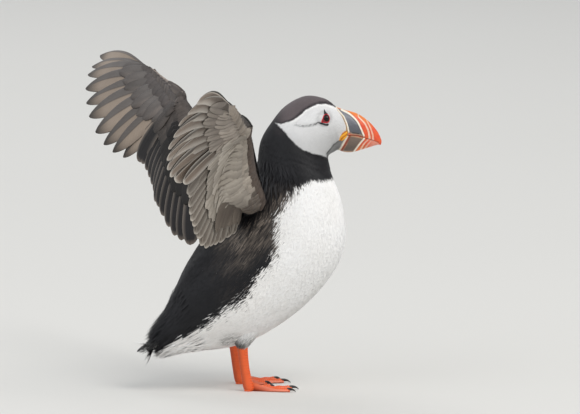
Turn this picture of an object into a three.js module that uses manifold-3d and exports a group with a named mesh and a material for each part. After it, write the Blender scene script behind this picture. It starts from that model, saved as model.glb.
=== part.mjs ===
// Atlantic puffin, life size, standing with both wings raised and spread.
// Millimetres. +X is the way the bird faces, +Y its left, +Z up.
// The origin is on the floor under the middle of the whole bird.

import * as THREE from 'three';
import Module from 'manifold-3d';

const wasm = await Module();
wasm.setup();
const { Manifold, Mesh } = wasm;

// ---------------------------------------------------------------- sizes

const GAP = 0.3; // clear line left between neighbouring parts
const SMOOTHING = 0.03; // slivers thinner than this are taken out of cut parts
const SHIFT_X = 2.1; // these two bring the middle of the whole bird over the origin
const SHIFT_Y = -5.2;

// Body: each station joins a belly point to a back point in the middle plane.
// [belly x, belly z, back x, back z, half width, share of the head's turn]
const BODY_STATIONS = [
  [-71, 35, -77, 47, 9, 0],
  [-54, 32, -69, 68, 21, 0],
  [-32, 32, -58, 94.5, 33, 0],
  [-6, 37, -44, 117, 42, 0],
  [22, 52.5, -31, 136, 46, 0],
  [48, 73, -20, 151.5, 47.5, 0],
  [68, 97.5, -10, 162.5, 46.5, 0],
  [75, 123.5, -2, 171.5, 42, 0],
  [71.5, 151, 3, 179.5, 35, 0.1],
  [64, 172, 4, 187.5, 29.5, 0.4],
  [62, 180.5, 5, 195.5, 26.5, 0.7],
  [61, 186, 7.5, 203.5, 24.5, 1],
  [62, 189, 14, 214, 22.5, 1],
  [65.5, 191, 25.5, 228, 20.5, 1],
  [68, 192.5, 41.5, 236.5, 19, 1],
  [69.5, 193, 56.5, 235, 16.5, 1],
  [71.5, 195, 65.5, 229.5, 13.5, 1],
  [74, 199.5, 71.5, 223.5, 11.2, 1],
  [76, 206, 75.3, 218, 8.4, 1],
];
const BELLY_FULLNESS = 0.1; // how much the widest line sits below the middle
const NECK_STATION = 8.6; // where the trunk ends and the neck begins
const HEAD_STATION = 11.4; // where the neck ends and the head begins
const AROUND_BODY = 20;
const TRUNK_ROWS = 16;
const NECK_ROWS = 5;
const HEAD_ROWS = 14;
const BODY_CUTTER_ROWS = 36;
const TURN_CENTRE_X = 32;
const HEAD_TURN_DEG = -10; // the head looks a little to the bird's right

// Tail
const TAIL_FEATHERS = 12;
const TAIL_ROOT = [-66, 51.5];
const TAIL_LENGTH = 36;
const TAIL_DROOP_DEG = 35;
const TAIL_ROOT_HALF = 8.5;
const TAIL_END_HALF = 17;
const TAIL_ROOT_THICK = 18;
const FEATHER_EDGE_THICK = 1.1;
const TAIL_SIDE_DROP = 5;
const TAIL_ROUNDING = 0.24;
const TAIL_NOTCH = 2;
const TAIL_ROWS = 3;
const TAIL_SIDE_THINNING = 0.72; // how much thinner the fan's two sides are

// Bill outlines in the head's own middle plane, from the base to the tip
const CULMEN = [
  [65, 228.2], [75, 225], [84.5, 222.1], [93.6, 215.8], [100.3, 208.1], [103.8, 200.6], [103.4, 196.9],
];
const GAPE = [
  [65, 207], [75.5, 205.7], [84, 205.4], [91, 203.2], [97, 201.2], [101, 199.1], [102.4, 196.9],
];
const GONYS = [
  [65, 194], [73.5, 191.2], [80.5, 191], [88, 193], [94.5, 195], [99, 196.4], [101.6, 197],
];
const BILL_HALF_WIDTHS = [9.6, 9, 7.9, 6.3, 4.6, 2.7, 0.8];
const LOWER_BILL_SHARE = 0.93; // width of the lower bill against the upper
const BILL_EDGE_POWER = 2.4;
const BILL_EDGE_ROUND = 0.55;
const BILL_ROWS = 9;
const BILL_SIDE_STEPS = [0, 0.45, 0.75, 0.93]; // shares of the height from gape to edge
const CERE_WIDTH = 1.5; // the soft rim round the base of the upper bill
const CERE_PROUD = 0.5;
const ROSETTE_AT = [73.6, 9.3, 205.2];
const ROSETTE_RADII = [4.6, 1.7, 2.6];
const ROSETTE_TILT_DEG = -43;

// Eyes
const EYE_RADIUS = 3.7;
const EYE_AT = [59.6, 13.8, 220.3];

// Legs and feet
const LEG_SPREAD = 21;
const THIGH_RINGS = [
  { x: -9, z: 56, long: 19, wide: 13 },
  { x: -10, z: 42, long: 10.5, wide: 9 },
  { x: -11.5, z: 34.6, long: 5.6, wide: 4.6 },
];
const TARSUS_RINGS = [
  { x: -11.8, z: 34.3, long: 4.6, wide: 3.3 },
  { x: -11, z: 26, long: 3.7, wide: 2.8 },
  { x: -9.8, z: 15, long: 3.7, wide: 2.8 },
  { x: -8.6, z: 8.6, long: 4.2, wide: 3.4 },
];
const ANKLE_X = -7.8;
const ANKLE_TOP = 8.3;
const HEEL_RADIUS = 4.3;
const TOES = {
  inner: { angle: 30, length: 24, claw: 6.5 },
  middle: { angle: 3, length: 36, claw: 8.5 },
  outer: { angle: -20, length: 34, claw: 7.5 },
};
const TOE_HALF_WIDTH = 2.3;
const TOE_HEIGHT = 3.2;
const TOE_SPREAD = 6; // degrees each side of a toe's line that its tip fills
const HEEL_STEPS = 7;
const FOOT_RINGS = 5;
const WEB_TOP = 1.7;
const WEB_BOTTOM = 0.6;
const WEB_REACH = 0.8; // how far the web runs out between two toes
const CLAW_RADIUS = 1.35;
const CLAW_RISE = 1.6;
const CLAW_BEND_DEG = 58;
const CLAW_RINGS = 5;
const CLAW_LIFT = 0.15; // keeps the claw's underside just off the floor
const CLAW_TAPER = 0.8;

// Wings. Each joint is [x, y, z] with y counted outward from the middle plane.
const WINGS = {
  R: {
    outward: -1,
    shoulder: [6.7, 30, 153.6],
    elbow: [-35, 80, 167],
    wrist: [-18.1, 85, 219.2],
    handTip: [-39.9, 133, 243.5],
    frontRoot: [5, 25, 150],
    frontWrist: [-17, 86, 218],
    primaryTips: [
      [-78.8, 131.3, 184.1], [-86.3, 134.1, 186.8], [-91.4, 144.3, 192.2], [-95.5, 157.9, 200.2],
      [-97.9, 174.1, 209.7], [-98.6, 188.4, 220.5], [-96.5, 201.7, 230.6], [-93.6, 212.7, 241.5],
      [-87.6, 222.1, 251], [-80.9, 226.4, 260.2],
    ],
    secondaryTips: [
      [-23, 43, 131], [-36.6, 52, 123.9], [-47.8, 64, 122.7], [-58.2, 78, 130.3],
      [-65.3, 92, 144.2], [-70, 106, 159.6], [-73.5, 119, 174.6],
    ],
  },
  L: {
    outward: 1,
    shoulder: [6.7, 30, 153.6],
    elbow: [-41, 68, 176],
    wrist: [-43, 85, 227.2],
    handTip: [-61.2, 137, 245.2],
    frontRoot: [5, 25, 150],
    frontWrist: [-42, 87, 228],
    primaryTips: [
      [-86.1, 133.4, 173.7], [-93.8, 140.1, 177.4], [-99.6, 151.4, 182.7], [-104.2, 166.4, 191.4],
      [-106.9, 183.5, 202.7], [-107, 198.3, 212.2], [-105.6, 211.2, 223], [-101.8, 222.9, 233.3],
      [-96.9, 231.9, 239.1], [-89.4, 236.7, 247.7],
    ],
    secondaryTips: [
      [-26, 38, 124], [-47.3, 46, 112.3], [-57.6, 62, 122.6], [-65.4, 80, 137.8],
      [-67.3, 94, 151], [-70.4, 106, 164.5], [-76.5, 118, 171.6],
    ],
  },
};
const PRIMARIES = 10;
const SECONDARIES = 12;
const TERTIALS = 3;
const INNERMOST_ROOT = 0.26; // places along the arm's back edge, shoulder 0 to wrist 1
const OUTERMOST_ROOT = 0.97;
const ROOT_CLEARANCE = 1.3;
const WING_ROOT_THICK = 2.8;
const ROW_END = 0.46; // how far a row goes on past the middle of its last feather
const PRIMARY_NOTCH = 7;
const SECONDARY_NOTCH = 3.5;
const FEATHER_CAMBER = 0.05;
const ARM_HALF_THICK = [11, 7, 4.6, 3.6, 3];
const HAND_HALF_THICK = [3, 2.5, 1.7, 1.1];
const HAND_AHEAD = 4.4;
const HAND_BEHIND = 8;
const ALULA_LENGTH = 22;
const ALULA_WIDTH = 3.4;
const ALULA_HALF_THICK = [0.5, 1.1, 1.3, 1.1, 0.5];
const ALULA_START = 0.03; // place along the hand where the alula begins
const ARM_ROWS = 8;
const ARM_AROUND = 12;
const HAND_ROWS = 5;
const HAND_AROUND = 10;
const HAND_OVERREACH = 1.08; // the hand's flesh goes a little past its last joint
const SHEET_ROWS = 3;

const COLOURS = {
  black: 0x1b1918,
  white: 0xeeebe4,
  darkGrey: 0x2c2a29,
  paleGrey: 0xd5d3cc,
  feather: 0x5a5048,
  legOrange: 0xf0622c,
  horn: 0x22201e,
  eye: 0x2a1512,
  billRed: 0xe8582c,
  billGrey: 0x8f8578,
  cere: 0xe6d8ae,
  rosette: 0xf0b429,
};

// ---------------------------------------------------------------- helpers

const radians = THREE.MathUtils.degToRad;
const lerp = THREE.MathUtils.lerp;

/** A smooth curve through the rows, one row per whole step of s. */
function spline(rows, s) {
  const last = rows.length - 1;
  const i = Math.min(Math.max(Math.floor(s), 0), last - 1);
  const t = s - i;
  const a = rows[Math.max(i - 1, 0)];
  const b = rows[i];
  const c = rows[i + 1];
  const d = rows[Math.min(i + 2, last)];
  return b.map((value, k) => {
    const slopeB = (c[k] - a[k]) / 2;
    const slopeC = (d[k] - value) / 2;
    const rise = c[k] - value;
    const bend = 3 * rise - 2 * slopeB - slopeC;
    const twist = slopeB + slopeC - 2 * rise;
    return value + t * (slopeB + t * (bend + t * twist));
  });
}

/** The same curve with u running from 0 at the first row to 1 at the last. */
function along(rows, u) {
  return spline(rows, u * (rows.length - 1));
}

function vector(p) {
  return new THREE.Vector3(p[0], p[1], p[2]);
}

function mix(p, q, t) {
  return p.clone().lerp(q, t);
}

/** A closed solid from points and triangles, turned right side out. */
function solidFrom(points, triangles) {
  let volume = 0;
  const cross = new THREE.Vector3();
  for (const [i, j, k] of triangles) {
    cross.crossVectors(points[j], points[k]);
    volume += points[i].dot(cross);
  }
  const faces = volume < 0 ? triangles.map(([i, j, k]) => [i, k, j]) : triangles;
  const vertProperties = new Float32Array(points.flatMap((p) => [p.x, p.y, p.z]));
  const triVerts = new Uint32Array(faces.flat());
  return new Manifold(new Mesh({ numProp: 3, vertProperties, triVerts }));
}

/** Rings of equally many points joined one to the next, both ends capped. */
function loft(rings) {
  const n = rings[0].length;
  const points = rings.flat();
  const triangles = [];
  for (let r = 0; r + 1 < rings.length; r += 1) {
    for (let k = 0; k < n; k += 1) {
      const next = (k + 1) % n;
      const [a, b] = [r * n + k, r * n + next];
      triangles.push([a, b, b + n], [a, b + n, a + n]);
    }
  }
  const caps = [[rings[0], 0, true], [rings.at(-1), (rings.length - 1) * n, false]];
  for (const [ring, start, flip] of caps) {
    const centre = points.length;
    points.push(ring.reduce((sum, p) => sum.add(p), new THREE.Vector3()).divideScalar(n));
    for (let k = 0; k < n; k += 1) {
      const [a, b] = [start + k, start + ((k + 1) % n)];
      triangles.push(flip ? [centre, b, a] : [centre, a, b]);
    }
  }
  return solidFrom(points, triangles);
}

/** An ellipse of points round a centre, with two half axes given as vectors. */
function ellipse(centre, axisA, axisB, count) {
  const ring = [];
  for (let k = 0; k < count; k += 1) {
    const phi = (2 * Math.PI * k) / count;
    const across = centre.clone().addScaledVector(axisA, Math.cos(phi));
    ring.push(across.addScaledVector(axisB, Math.sin(phi)));
  }
  return ring;
}

/** A thin closed sheet: faceAt(i, j) gives its [upper, lower] points. */
function sheet(columns, rows, faceAt) {
  const points = [];
  for (let i = 0; i <= columns; i += 1) {
    for (let j = 0; j <= rows; j += 1) {
      points.push(...faceAt(i, j));
    }
  }
  const at = (i, j, side) => 2 * (i * (rows + 1) + j) + side;
  const triangles = [];
  const quad = (a, b, c, d) => triangles.push([a, b, c], [a, c, d]);
  for (let i = 0; i < columns; i += 1) {
    for (let j = 0; j < rows; j += 1) {
      quad(at(i, j, 0), at(i + 1, j, 0), at(i + 1, j + 1, 0), at(i, j + 1, 0));
      quad(at(i, j, 1), at(i, j + 1, 1), at(i + 1, j + 1, 1), at(i + 1, j, 1));
    }
    quad(at(i, 0, 1), at(i + 1, 0, 1), at(i + 1, 0, 0), at(i, 0, 0));
    quad(at(i, rows, 0), at(i + 1, rows, 0), at(i + 1, rows, 1), at(i, rows, 1));
  }
  for (let j = 0; j < rows; j += 1) {
    quad(at(0, j, 0), at(0, j + 1, 0), at(0, j + 1, 1), at(0, j, 1));
    quad(at(columns, j, 1), at(columns, j + 1, 1), at(columns, j + 1, 0), at(columns, j, 0));
  }
  return solidFrom(points, triangles);
}

const group = new THREE.Group();
group.name = 'puffin';

/** The largest piece of a cut solid, without the crumbs a grazing cut leaves. */
function largestPiece(solid) {
  const pieces = solid.simplify(SMOOTHING).decompose();
  return pieces.reduce((best, piece) => (piece.volume() > best.volume() ? piece : best));
}

/** Adds a finished part to the bird under its name. */
function addPart(name, solid, colour, roughness) {
  const mesh = largestPiece(solid).getMesh();
  const geometry = new THREE.BufferGeometry();
  geometry.setAttribute('position', new THREE.BufferAttribute(new Float32Array(mesh.vertProperties), 3));
  geometry.setIndex(new THREE.BufferAttribute(new Uint32Array(mesh.triVerts), 1));
  geometry.translate(SHIFT_X, SHIFT_Y, 0);
  geometry.computeVertexNormals();
  const material = new THREE.MeshStandardMaterial({ color: colour, roughness, metalness: 0 });
  const part = new THREE.Mesh(geometry, material);
  part.name = name;
  group.add(part);
}

// ---------------------------------------------------------------- body

/** Turns a point of the head's own frame to where the head looks. */
function turned(x, y, z, share = 1) {
  const angle = radians(HEAD_TURN_DEG) * share;
  const dx = x - TURN_CENTRE_X;
  return new THREE.Vector3(
    TURN_CENTRE_X + dx * Math.cos(angle) - y * Math.sin(angle),
    dx * Math.sin(angle) + y * Math.cos(angle),
    z,
  );
}

/** One ring round the body at station s, swollen outward by grow. */
function bodyRing(s, grow) {
  const [bellyX, bellyZ, backX, backZ, width, share] = spline(BODY_STATIONS, s);
  const half = new THREE.Vector2(backX - bellyX, backZ - bellyZ).divideScalar(2);
  const swell = 1 + grow / half.length();
  const ring = [];
  for (let k = 0; k < AROUND_BODY; k += 1) {
    const phi = (2 * Math.PI * k) / AROUND_BODY;
    const rise = Math.cos(phi) * swell;
    const side = Math.sin(phi) * (width + grow) * (1 - BELLY_FULLNESS * Math.cos(phi));
    const x = (bellyX + backX) / 2 + half.x * rise;
    const z = (bellyZ + backZ) / 2 + half.y * rise;
    ring.push(turned(x, side, z, share));
  }
  return ring;
}

/** The length of body one station covers where it is shortest. */
function stationLength(s) {
  const step = 0.01;
  const a = spline(BODY_STATIONS, s);
  const b = spline(BODY_STATIONS, s + step);
  const belly = Math.hypot(b[0] - a[0], b[1] - a[1]);
  const back = Math.hypot(b[2] - a[2], b[3] - a[3]);
  return Math.min(belly, back) / step;
}

function bodySpan(from, to, rows, grow = 0) {
  const rings = [];
  for (let r = 0; r <= rows; r += 1) {
    rings.push(bodyRing(lerp(from, to, r / rows), grow));
  }
  return loft(rings);
}

const LAST_STATION = BODY_STATIONS.length - 1;
const neckCut = (GAP / 2) / stationLength(NECK_STATION);
const headCut = (GAP / 2) / stationLength(HEAD_STATION);

/** The whole body swollen by grow, for cutting its neighbours back. */
function bodyGrown(grow) {
  const rings = [];
  for (let r = 0; r <= BODY_CUTTER_ROWS; r += 1) {
    rings.push(bodyRing(lerp(0, LAST_STATION, r / BODY_CUTTER_ROWS), grow));
  }
  const forward = turned(TURN_CENTRE_X + grow, 0, 0).sub(turned(TURN_CENTRE_X, 0, 0));
  rings.push(rings.at(-1).map((point) => point.clone().add(forward)));
  rings.unshift(rings[0].map((point) => point.clone().sub(forward)));
  return loft(rings);
}

const bodyClear = bodyGrown(GAP);

// ---------------------------------------------------------------- head

/** Half the bill's thickness at s along it and height share tau above the gape. */
function billHalf(s, tau) {
  const [width] = along(BILL_HALF_WIDTHS.map((w) => [w]), s);
  return width * (1 - tau ** BILL_EDGE_POWER) ** BILL_EDGE_ROUND;
}

/** One half of the bill between the gape and an outer edge curve. */
function billSolid(edge, gapeDrop, share, grow = 0) {
  const rings = [];
  for (let r = 0; r <= BILL_ROWS; r += 1) {
    const s = r / BILL_ROWS;
    const [gapeX, gapeZ] = along(GAPE, s);
    const [edgeX, edgeZ] = along(edge, s);
    const tall = Math.hypot(edgeX - gapeX, edgeZ - gapeZ);
    const place = (tau, side) => {
      const reach = tau * (1 + grow / tall);
      const y = side * (billHalf(s, tau) * share + grow);
      return turned(lerp(gapeX, edgeX, reach), y, lerp(gapeZ - gapeDrop, edgeZ, reach));
    };
    const near = BILL_SIDE_STEPS.map((tau) => place(tau, 1));
    const far = BILL_SIDE_STEPS.map((tau) => place(tau, -1)).reverse();
    const top = 1 + grow / tall;
    rings.push([...near, turned(lerp(gapeX, edgeX, top), 0, lerp(gapeZ, edgeZ, top)), ...far]);
  }
  return loft(rings);
}

/** A ball or egg in the head's frame: centre, half axes, tilt about the side axis. */
function egg(at, side, radii, tiltDeg, grow, segments) {
  const geometry = new THREE.SphereGeometry(1, segments, segments / 2);
  const position = geometry.getAttribute('position');
  const tilt = radians(tiltDeg);
  const seen = new Map();
  const points = [];
  const remap = [];
  for (let i = 0; i < position.count; i += 1) {
    const x = position.getX(i) * (radii[0] + grow);
    const y = position.getY(i) * (radii[1] + grow);
    const z = position.getZ(i) * (radii[2] + grow);
    const u = x * Math.cos(tilt) + z * Math.sin(tilt);
    const w = -x * Math.sin(tilt) + z * Math.cos(tilt);
    const point = turned(at[0] + u, side * at[1] + y, at[2] + w);
    const key = point.toArray().map((c) => c.toFixed(4)).join();
    if (!seen.has(key)) {
      seen.set(key, points.length);
      points.push(point);
    }
    remap.push(seen.get(key));
  }
  const index = geometry.getIndex();
  const triangles = [];
  for (let i = 0; i < index.count; i += 3) {
    const face = [0, 1, 2].map((k) => remap[index.getX(i + k)]);
    if (new Set(face).size === 3) {
      triangles.push(face);
    }
  }
  return solidFrom(points, triangles);
}

const SIDES = { R: -1, L: 1 };
const EYE_SEGMENTS = 12;
const upperBill = billSolid(CULMEN, 0, 1);
const lowerBill = billSolid(GONYS, GAP, LOWER_BILL_SHARE);
const upperBillClear = billSolid(CULMEN, 0, 1, GAP);
const lowerBillClear = billSolid(GONYS, GAP, LOWER_BILL_SHARE, GAP);

let head = bodySpan(HEAD_STATION + headCut, LAST_STATION, HEAD_ROWS);
const rosettes = {};
let rosettesClear = null;
for (const [key, side] of Object.entries(SIDES)) {
  const eyeRadii = [EYE_RADIUS, EYE_RADIUS, EYE_RADIUS];
  addPart(`eye_${key}`, egg(EYE_AT, side, eyeRadii, 0, 0, EYE_SEGMENTS), COLOURS.eye, 0.15);
  head = head.subtract(egg(EYE_AT, side, eyeRadii, 0, GAP, EYE_SEGMENTS));
  const clear = egg(ROSETTE_AT, side, ROSETTE_RADII, ROSETTE_TILT_DEG, GAP, EYE_SEGMENTS);
  rosettes[key] = egg(ROSETTE_AT, side, ROSETTE_RADII, ROSETTE_TILT_DEG, 0, EYE_SEGMENTS);
  rosettesClear = rosettesClear ? rosettesClear.add(clear) : clear;
}
const cereZone = bodyGrown(GAP + CERE_WIDTH);
const pastCere = bodyGrown(GAP + CERE_WIDTH + GAP);
const cere = billSolid(CULMEN, 0, 1, CERE_PROUD)
  .intersect(cereZone)
  .subtract(bodyClear)
  .subtract(rosettesClear)
  .subtract(lowerBillClear);
for (const key of Object.keys(SIDES)) {
  addPart(`rosette_${key}`, rosettes[key], COLOURS.rosette, 0.7);
}
addPart('head', head.subtract(rosettesClear), COLOURS.paleGrey, 0.9);
addPart('bill_cere', cere, COLOURS.cere, 0.6);
addPart('bill_upper', upperBill.subtract(pastCere).subtract(rosettesClear), COLOURS.billRed, 0.35);
addPart('bill_lower', lowerBill.subtract(bodyClear).subtract(rosettesClear), COLOURS.billGrey, 0.35);

// ---------------------------------------------------------------- neck, trunk, tail

addPart('neck', bodySpan(NECK_STATION + neckCut, HEAD_STATION - headCut, NECK_ROWS), COLOURS.black, 0.9);

/** How far a scalloped row of feathers reaches at place a, tips at whole numbers. */
function scallop(a, length, notch) {
  const away = 2 * Math.abs(a - Math.round(a));
  return 1 - (notch / length) * away ** 1.6;
}

/** The tail fan: a wedge that thins and widens toward a rounded feathered end. */
function tailSolid() {
  const columns = TAIL_FEATHERS * 2;
  return sheet(columns, TAIL_ROWS, (i, j) => {
    const a = lerp(-1, 1, i / columns);
    const feather = lerp(0.5, TAIL_FEATHERS + 0.5, i / columns);
    const end = scallop(feather, TAIL_LENGTH, TAIL_NOTCH) * (1 - TAIL_ROUNDING * a * a);
    const t = (j / TAIL_ROWS) * end;
    const droop = radians(TAIL_DROOP_DEG);
    const middleThick = lerp(TAIL_ROOT_THICK, FEATHER_EDGE_THICK, (j / TAIL_ROWS) ** 0.75);
    const thick = middleThick * Math.sqrt(1 - TAIL_SIDE_THINNING * a * a);
    const x = TAIL_ROOT[0] - Math.cos(droop) * TAIL_LENGTH * t;
    const z = TAIL_ROOT[1] - Math.sin(droop) * TAIL_LENGTH * t - TAIL_SIDE_DROP * a * a * t;
    const y = a * lerp(TAIL_ROOT_HALF, TAIL_END_HALF, t ** 0.8);
    const nx = -Math.sin(droop) * thick / 2;
    const nz = Math.cos(droop) * thick / 2;
    return [new THREE.Vector3(x + nx, y, z + nz), new THREE.Vector3(x - nx, y, z - nz)];
  });
}
addPart('tail', tailSolid().subtract(bodyClear), COLOURS.black, 0.9);
addPart('trunk', bodySpan(0, NECK_STATION - neckCut, TRUNK_ROWS), COLOURS.white, 0.9);

// ---------------------------------------------------------------- legs

/** Upright rings {x, z, long, wide} stacked at one side of the body. */
function limb(rings, y, count) {
  return loft(rings.map(({ x, z, long, wide }) => ellipse(
    new THREE.Vector3(x, y, z),
    new THREE.Vector3(long, 0, 0),
    new THREE.Vector3(0, wide, 0),
    count,
  )));
}

/** Directions round the ankle at which the foot is drawn, finest at the toes. */
function footAngles() {
  const { inner, middle, outer } = TOES;
  const angles = [];
  for (const toe of [outer, middle, inner]) {
    for (const off of [-1, -0.5, 0, 0.5, 1]) {
      angles.push(toe.angle + off * TOE_SPREAD);
    }
  }
  angles.push((outer.angle + middle.angle) / 2, (middle.angle + inner.angle) / 2);
  for (let k = 1; k < HEEL_STEPS; k += 1) {
    angles.push(lerp(inner.angle + TOE_SPREAD, outer.angle - TOE_SPREAD + 360, k / HEEL_STEPS));
  }
  return angles.sort((a, b) => a - b);
}

/** How far the foot reaches from the ankle in one direction. */
function footReach(angle) {
  const { inner, middle, outer } = TOES;
  let reach = HEEL_RADIUS;
  for (const [a, b] of [[outer, middle], [middle, inner]]) {
    if (angle >= a.angle && angle <= b.angle) {
      const t = (angle - a.angle) / (b.angle - a.angle);
      reach = lerp(a.length, b.length, t) * (1 - (1 - WEB_REACH) * Math.sin(Math.PI * t) ** 0.6);
    }
  }
  for (const toe of [inner, middle, outer]) {
    const off = Math.abs(angle - toe.angle) / TOE_SPREAD;
    if (off <= 1) {
      reach = Math.max(reach, toe.length * (1 - 0.16 * off ** 2.5));
    }
  }
  return reach;
}

/** Upper and lower height of the foot at a distance r in one direction. */
function footHeights(angle, r) {
  let ridge = 0;
  for (const toe of Object.values(TOES)) {
    const across = r * Math.sin(radians(angle - toe.angle));
    const ahead = Math.cos(radians(angle - toe.angle)) > 0;
    ridge = Math.max(ridge, ahead ? Math.exp(-((across / TOE_HALF_WIDTH) ** 2)) : 0);
  }
  const rise = Math.exp(-((r / 8.5) ** 2));
  const top = Math.max(lerp(WEB_TOP, TOE_HEIGHT, ridge), ANKLE_TOP * rise);
  const pad = ridge > 0.5 || r < HEEL_RADIUS ? 0 : WEB_BOTTOM;
  return [top, pad];
}

/** A webbed foot flat on the floor: rings of points round the ankle. */
function footSolid(side) {
  const angles = footAngles();
  const rings = FOOT_RINGS;
  const points = [new THREE.Vector3(ANKLE_X, side * LEG_SPREAD, ANKLE_TOP)];
  points.push(new THREE.Vector3(ANKLE_X, side * LEG_SPREAD, 0));
  for (let j = 1; j <= rings; j += 1) {
    for (const angle of angles) {
      const inner = Math.min(HEEL_RADIUS, footReach(angle)) * 0.6;
      const r = lerp(inner, footReach(angle), (j - 1) / (rings - 1));
      const heights = footHeights(angle, r);
      const slope = j === rings ? 0.4 : 0;
      const x = ANKLE_X + r * Math.cos(radians(angle));
      const y = side * (LEG_SPREAD - r * Math.sin(radians(angle)));
      points.push(new THREE.Vector3(x, y, lerp(heights[0], heights[1], slope)));
      points.push(new THREE.Vector3(x, y, heights[1]));
    }
  }
  const n = angles.length;
  const at = (j, k, lower) => 2 + 2 * ((j - 1) * n + (k % n)) + lower;
  const triangles = [];
  for (let k = 0; k < n; k += 1) {
    triangles.push([0, at(1, k, 0), at(1, k + 1, 0)], [1, at(1, k + 1, 1), at(1, k, 1)]);
    for (let j = 1; j < rings; j += 1) {
      triangles.push([at(j, k, 0), at(j + 1, k, 0), at(j + 1, k + 1, 0)]);
      triangles.push([at(j, k, 0), at(j + 1, k + 1, 0), at(j, k + 1, 0)]);
      triangles.push([at(j, k, 1), at(j + 1, k + 1, 1), at(j + 1, k, 1)]);
      triangles.push([at(j, k, 1), at(j, k + 1, 1), at(j + 1, k + 1, 1)]);
    }
    triangles.push([at(rings, k, 0), at(rings, k, 1), at(rings, k + 1, 1)]);
    triangles.push([at(rings, k, 0), at(rings, k + 1, 1), at(rings, k + 1, 0)]);
  }
  return solidFrom(points, triangles);
}

/** A curved claw beyond the end of a toe, its point just off the floor. */
function clawSolid(toe, side) {
  const rings = [];
  const turn = radians(toe.angle);
  const forward = new THREE.Vector3(Math.cos(turn), -side * Math.sin(turn), 0);
  const across = new THREE.Vector3(Math.sin(turn), side * Math.cos(turn), 0);
  const base = new THREE.Vector3(ANKLE_X, side * LEG_SPREAD, 0).addScaledVector(forward, toe.length + GAP);
  for (let k = 0; k <= CLAW_RINGS; k += 1) {
    const t = k / CLAW_RINGS;
    const radius = CLAW_RADIUS * (1 - CLAW_TAPER * t);
    const bend = t * radians(CLAW_BEND_DEG);
    const centre = base.clone().addScaledVector(forward, toe.claw * t * 0.94);
    const arch = Math.sin(Math.PI * t * 0.62) - 1.4 * t * t;
    centre.z = CLAW_RADIUS + CLAW_LIFT + CLAW_RISE * arch;
    const upright = new THREE.Vector3(0, 0, Math.cos(bend)).addScaledVector(forward, Math.sin(bend));
    const wide = across.clone().multiplyScalar(radius * 0.8);
    rings.push(ellipse(centre, wide, upright.multiplyScalar(radius), 8));
  }
  return loft(rings);
}

for (const [key, side] of Object.entries(SIDES)) {
  const y = side * LEG_SPREAD;
  addPart(`thigh_${key}`, limb(THIGH_RINGS, y, 16).subtract(bodyClear), COLOURS.white, 0.9);
  addPart(`tarsus_${key}`, limb(TARSUS_RINGS, y, 12), COLOURS.legOrange, 0.55);
  addPart(`foot_${key}`, footSolid(side), COLOURS.legOrange, 0.55);
  for (const [toeName, toe] of Object.entries(TOES)) {
    addPart(`claw_${key}_${toeName}`, clawSolid(toe, side), COLOURS.horn, 0.3);
  }
}

// ---------------------------------------------------------------- wings

/** A wing's named points as vectors on its own side of the body. */
function wingPoints(wing) {
  const place = (p) => new THREE.Vector3(p[0], wing.outward * p[1], p[2]);
  return {
    shoulder: place(wing.shoulder),
    elbow: place(wing.elbow),
    wrist: place(wing.wrist),
    handTip: place(wing.handTip),
    frontRoot: place(wing.frontRoot),
    frontWrist: place(wing.frontWrist),
    primaryTips: wing.primaryTips.map(place),
    secondaryTips: wing.secondaryTips.map(place),
  };
}

/**
 * Roots and tips of all flight feathers, innermost tertial to outermost primary.
 * Each grows just clear of the back edge of the arm or the hand.
 */
function flightFeathers(p, armTrail, handTrail) {
  const roots = [];
  const tips = [];
  const grow = (back, tip) => {
    const outward = tip.clone().sub(back).normalize();
    roots.push(back.clone().addScaledVector(outward, ROOT_CLEARANCE).toArray());
    tips.push(tip.toArray());
  };
  const inner = TERTIALS + SECONDARIES;
  const tipRows = p.secondaryTips.map((tip) => tip.toArray());
  for (let k = 0; k < inner; k += 1) {
    const place = k / (inner - 1);
    grow(armTrail(lerp(INNERMOST_ROOT, OUTERMOST_ROOT, place)), vector(along(tipRows, place)));
  }
  for (let k = 0; k < PRIMARIES; k += 1) {
    grow(handTrail((k + 0.5) / PRIMARIES), p.primaryTips[k]);
  }
  return { roots, tips };
}

/** Extends a list of points by one step at both ends. */
function padded(rows) {
  const before = rows[0].map((value, k) => 2 * value - rows[1][k]);
  const after = rows.at(-1).map((value, k) => 2 * value - rows.at(-2)[k]);
  return [before, ...rows, after];
}

/** Places across a row of feathers where its edge turns, from first to last. */
function featherPlaces(first, last, offsets) {
  const places = [first - ROW_END];
  for (let k = first; k <= last; k += 1) {
    places.push(...offsets.map((off) => k + off));
  }
  places[places.length - 1] = last + ROW_END;
  return places;
}

/** The sheet of flight feathers drawn at the given places in the row. */
function featherSheet(feathers, places, notch, outward) {
  const roots = padded(feathers.roots);
  const tips = padded(feathers.tips);
  const middle = (a, r) => {
    const root = vector(spline(roots, a + 1));
    const tip = vector(spline(tips, a + 1));
    return mix(root, tip, r);
  };
  return sheet(places.length - 1, SHEET_ROWS, (i, j) => {
    const a = places[i];
    const root = vector(spline(roots, a + 1));
    const tip = vector(spline(tips, a + 1));
    const length = root.distanceTo(tip);
    const reach = (j / SHEET_ROWS) * scallop(a, length, notch);
    const at = Math.max(reach, 0.2);
    const spread = middle(a + 0.4, at).sub(middle(a - 0.4, at));
    const upper = new THREE.Vector3().crossVectors(spread, tip.clone().sub(root));
    upper.normalize().multiplyScalar(outward);
    const bulge = FEATHER_CAMBER * length * 4 * reach * (1 - reach);
    const thick = lerp(WING_ROOT_THICK, FEATHER_EDGE_THICK, Math.min(1, reach * 1.4));
    const centre = mix(root, tip, reach).addScaledVector(upper, bulge);
    return [
      centre.clone().addScaledVector(upper, thick / 2),
      centre.clone().addScaledVector(upper, -thick / 2),
    ];
  });
}

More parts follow.
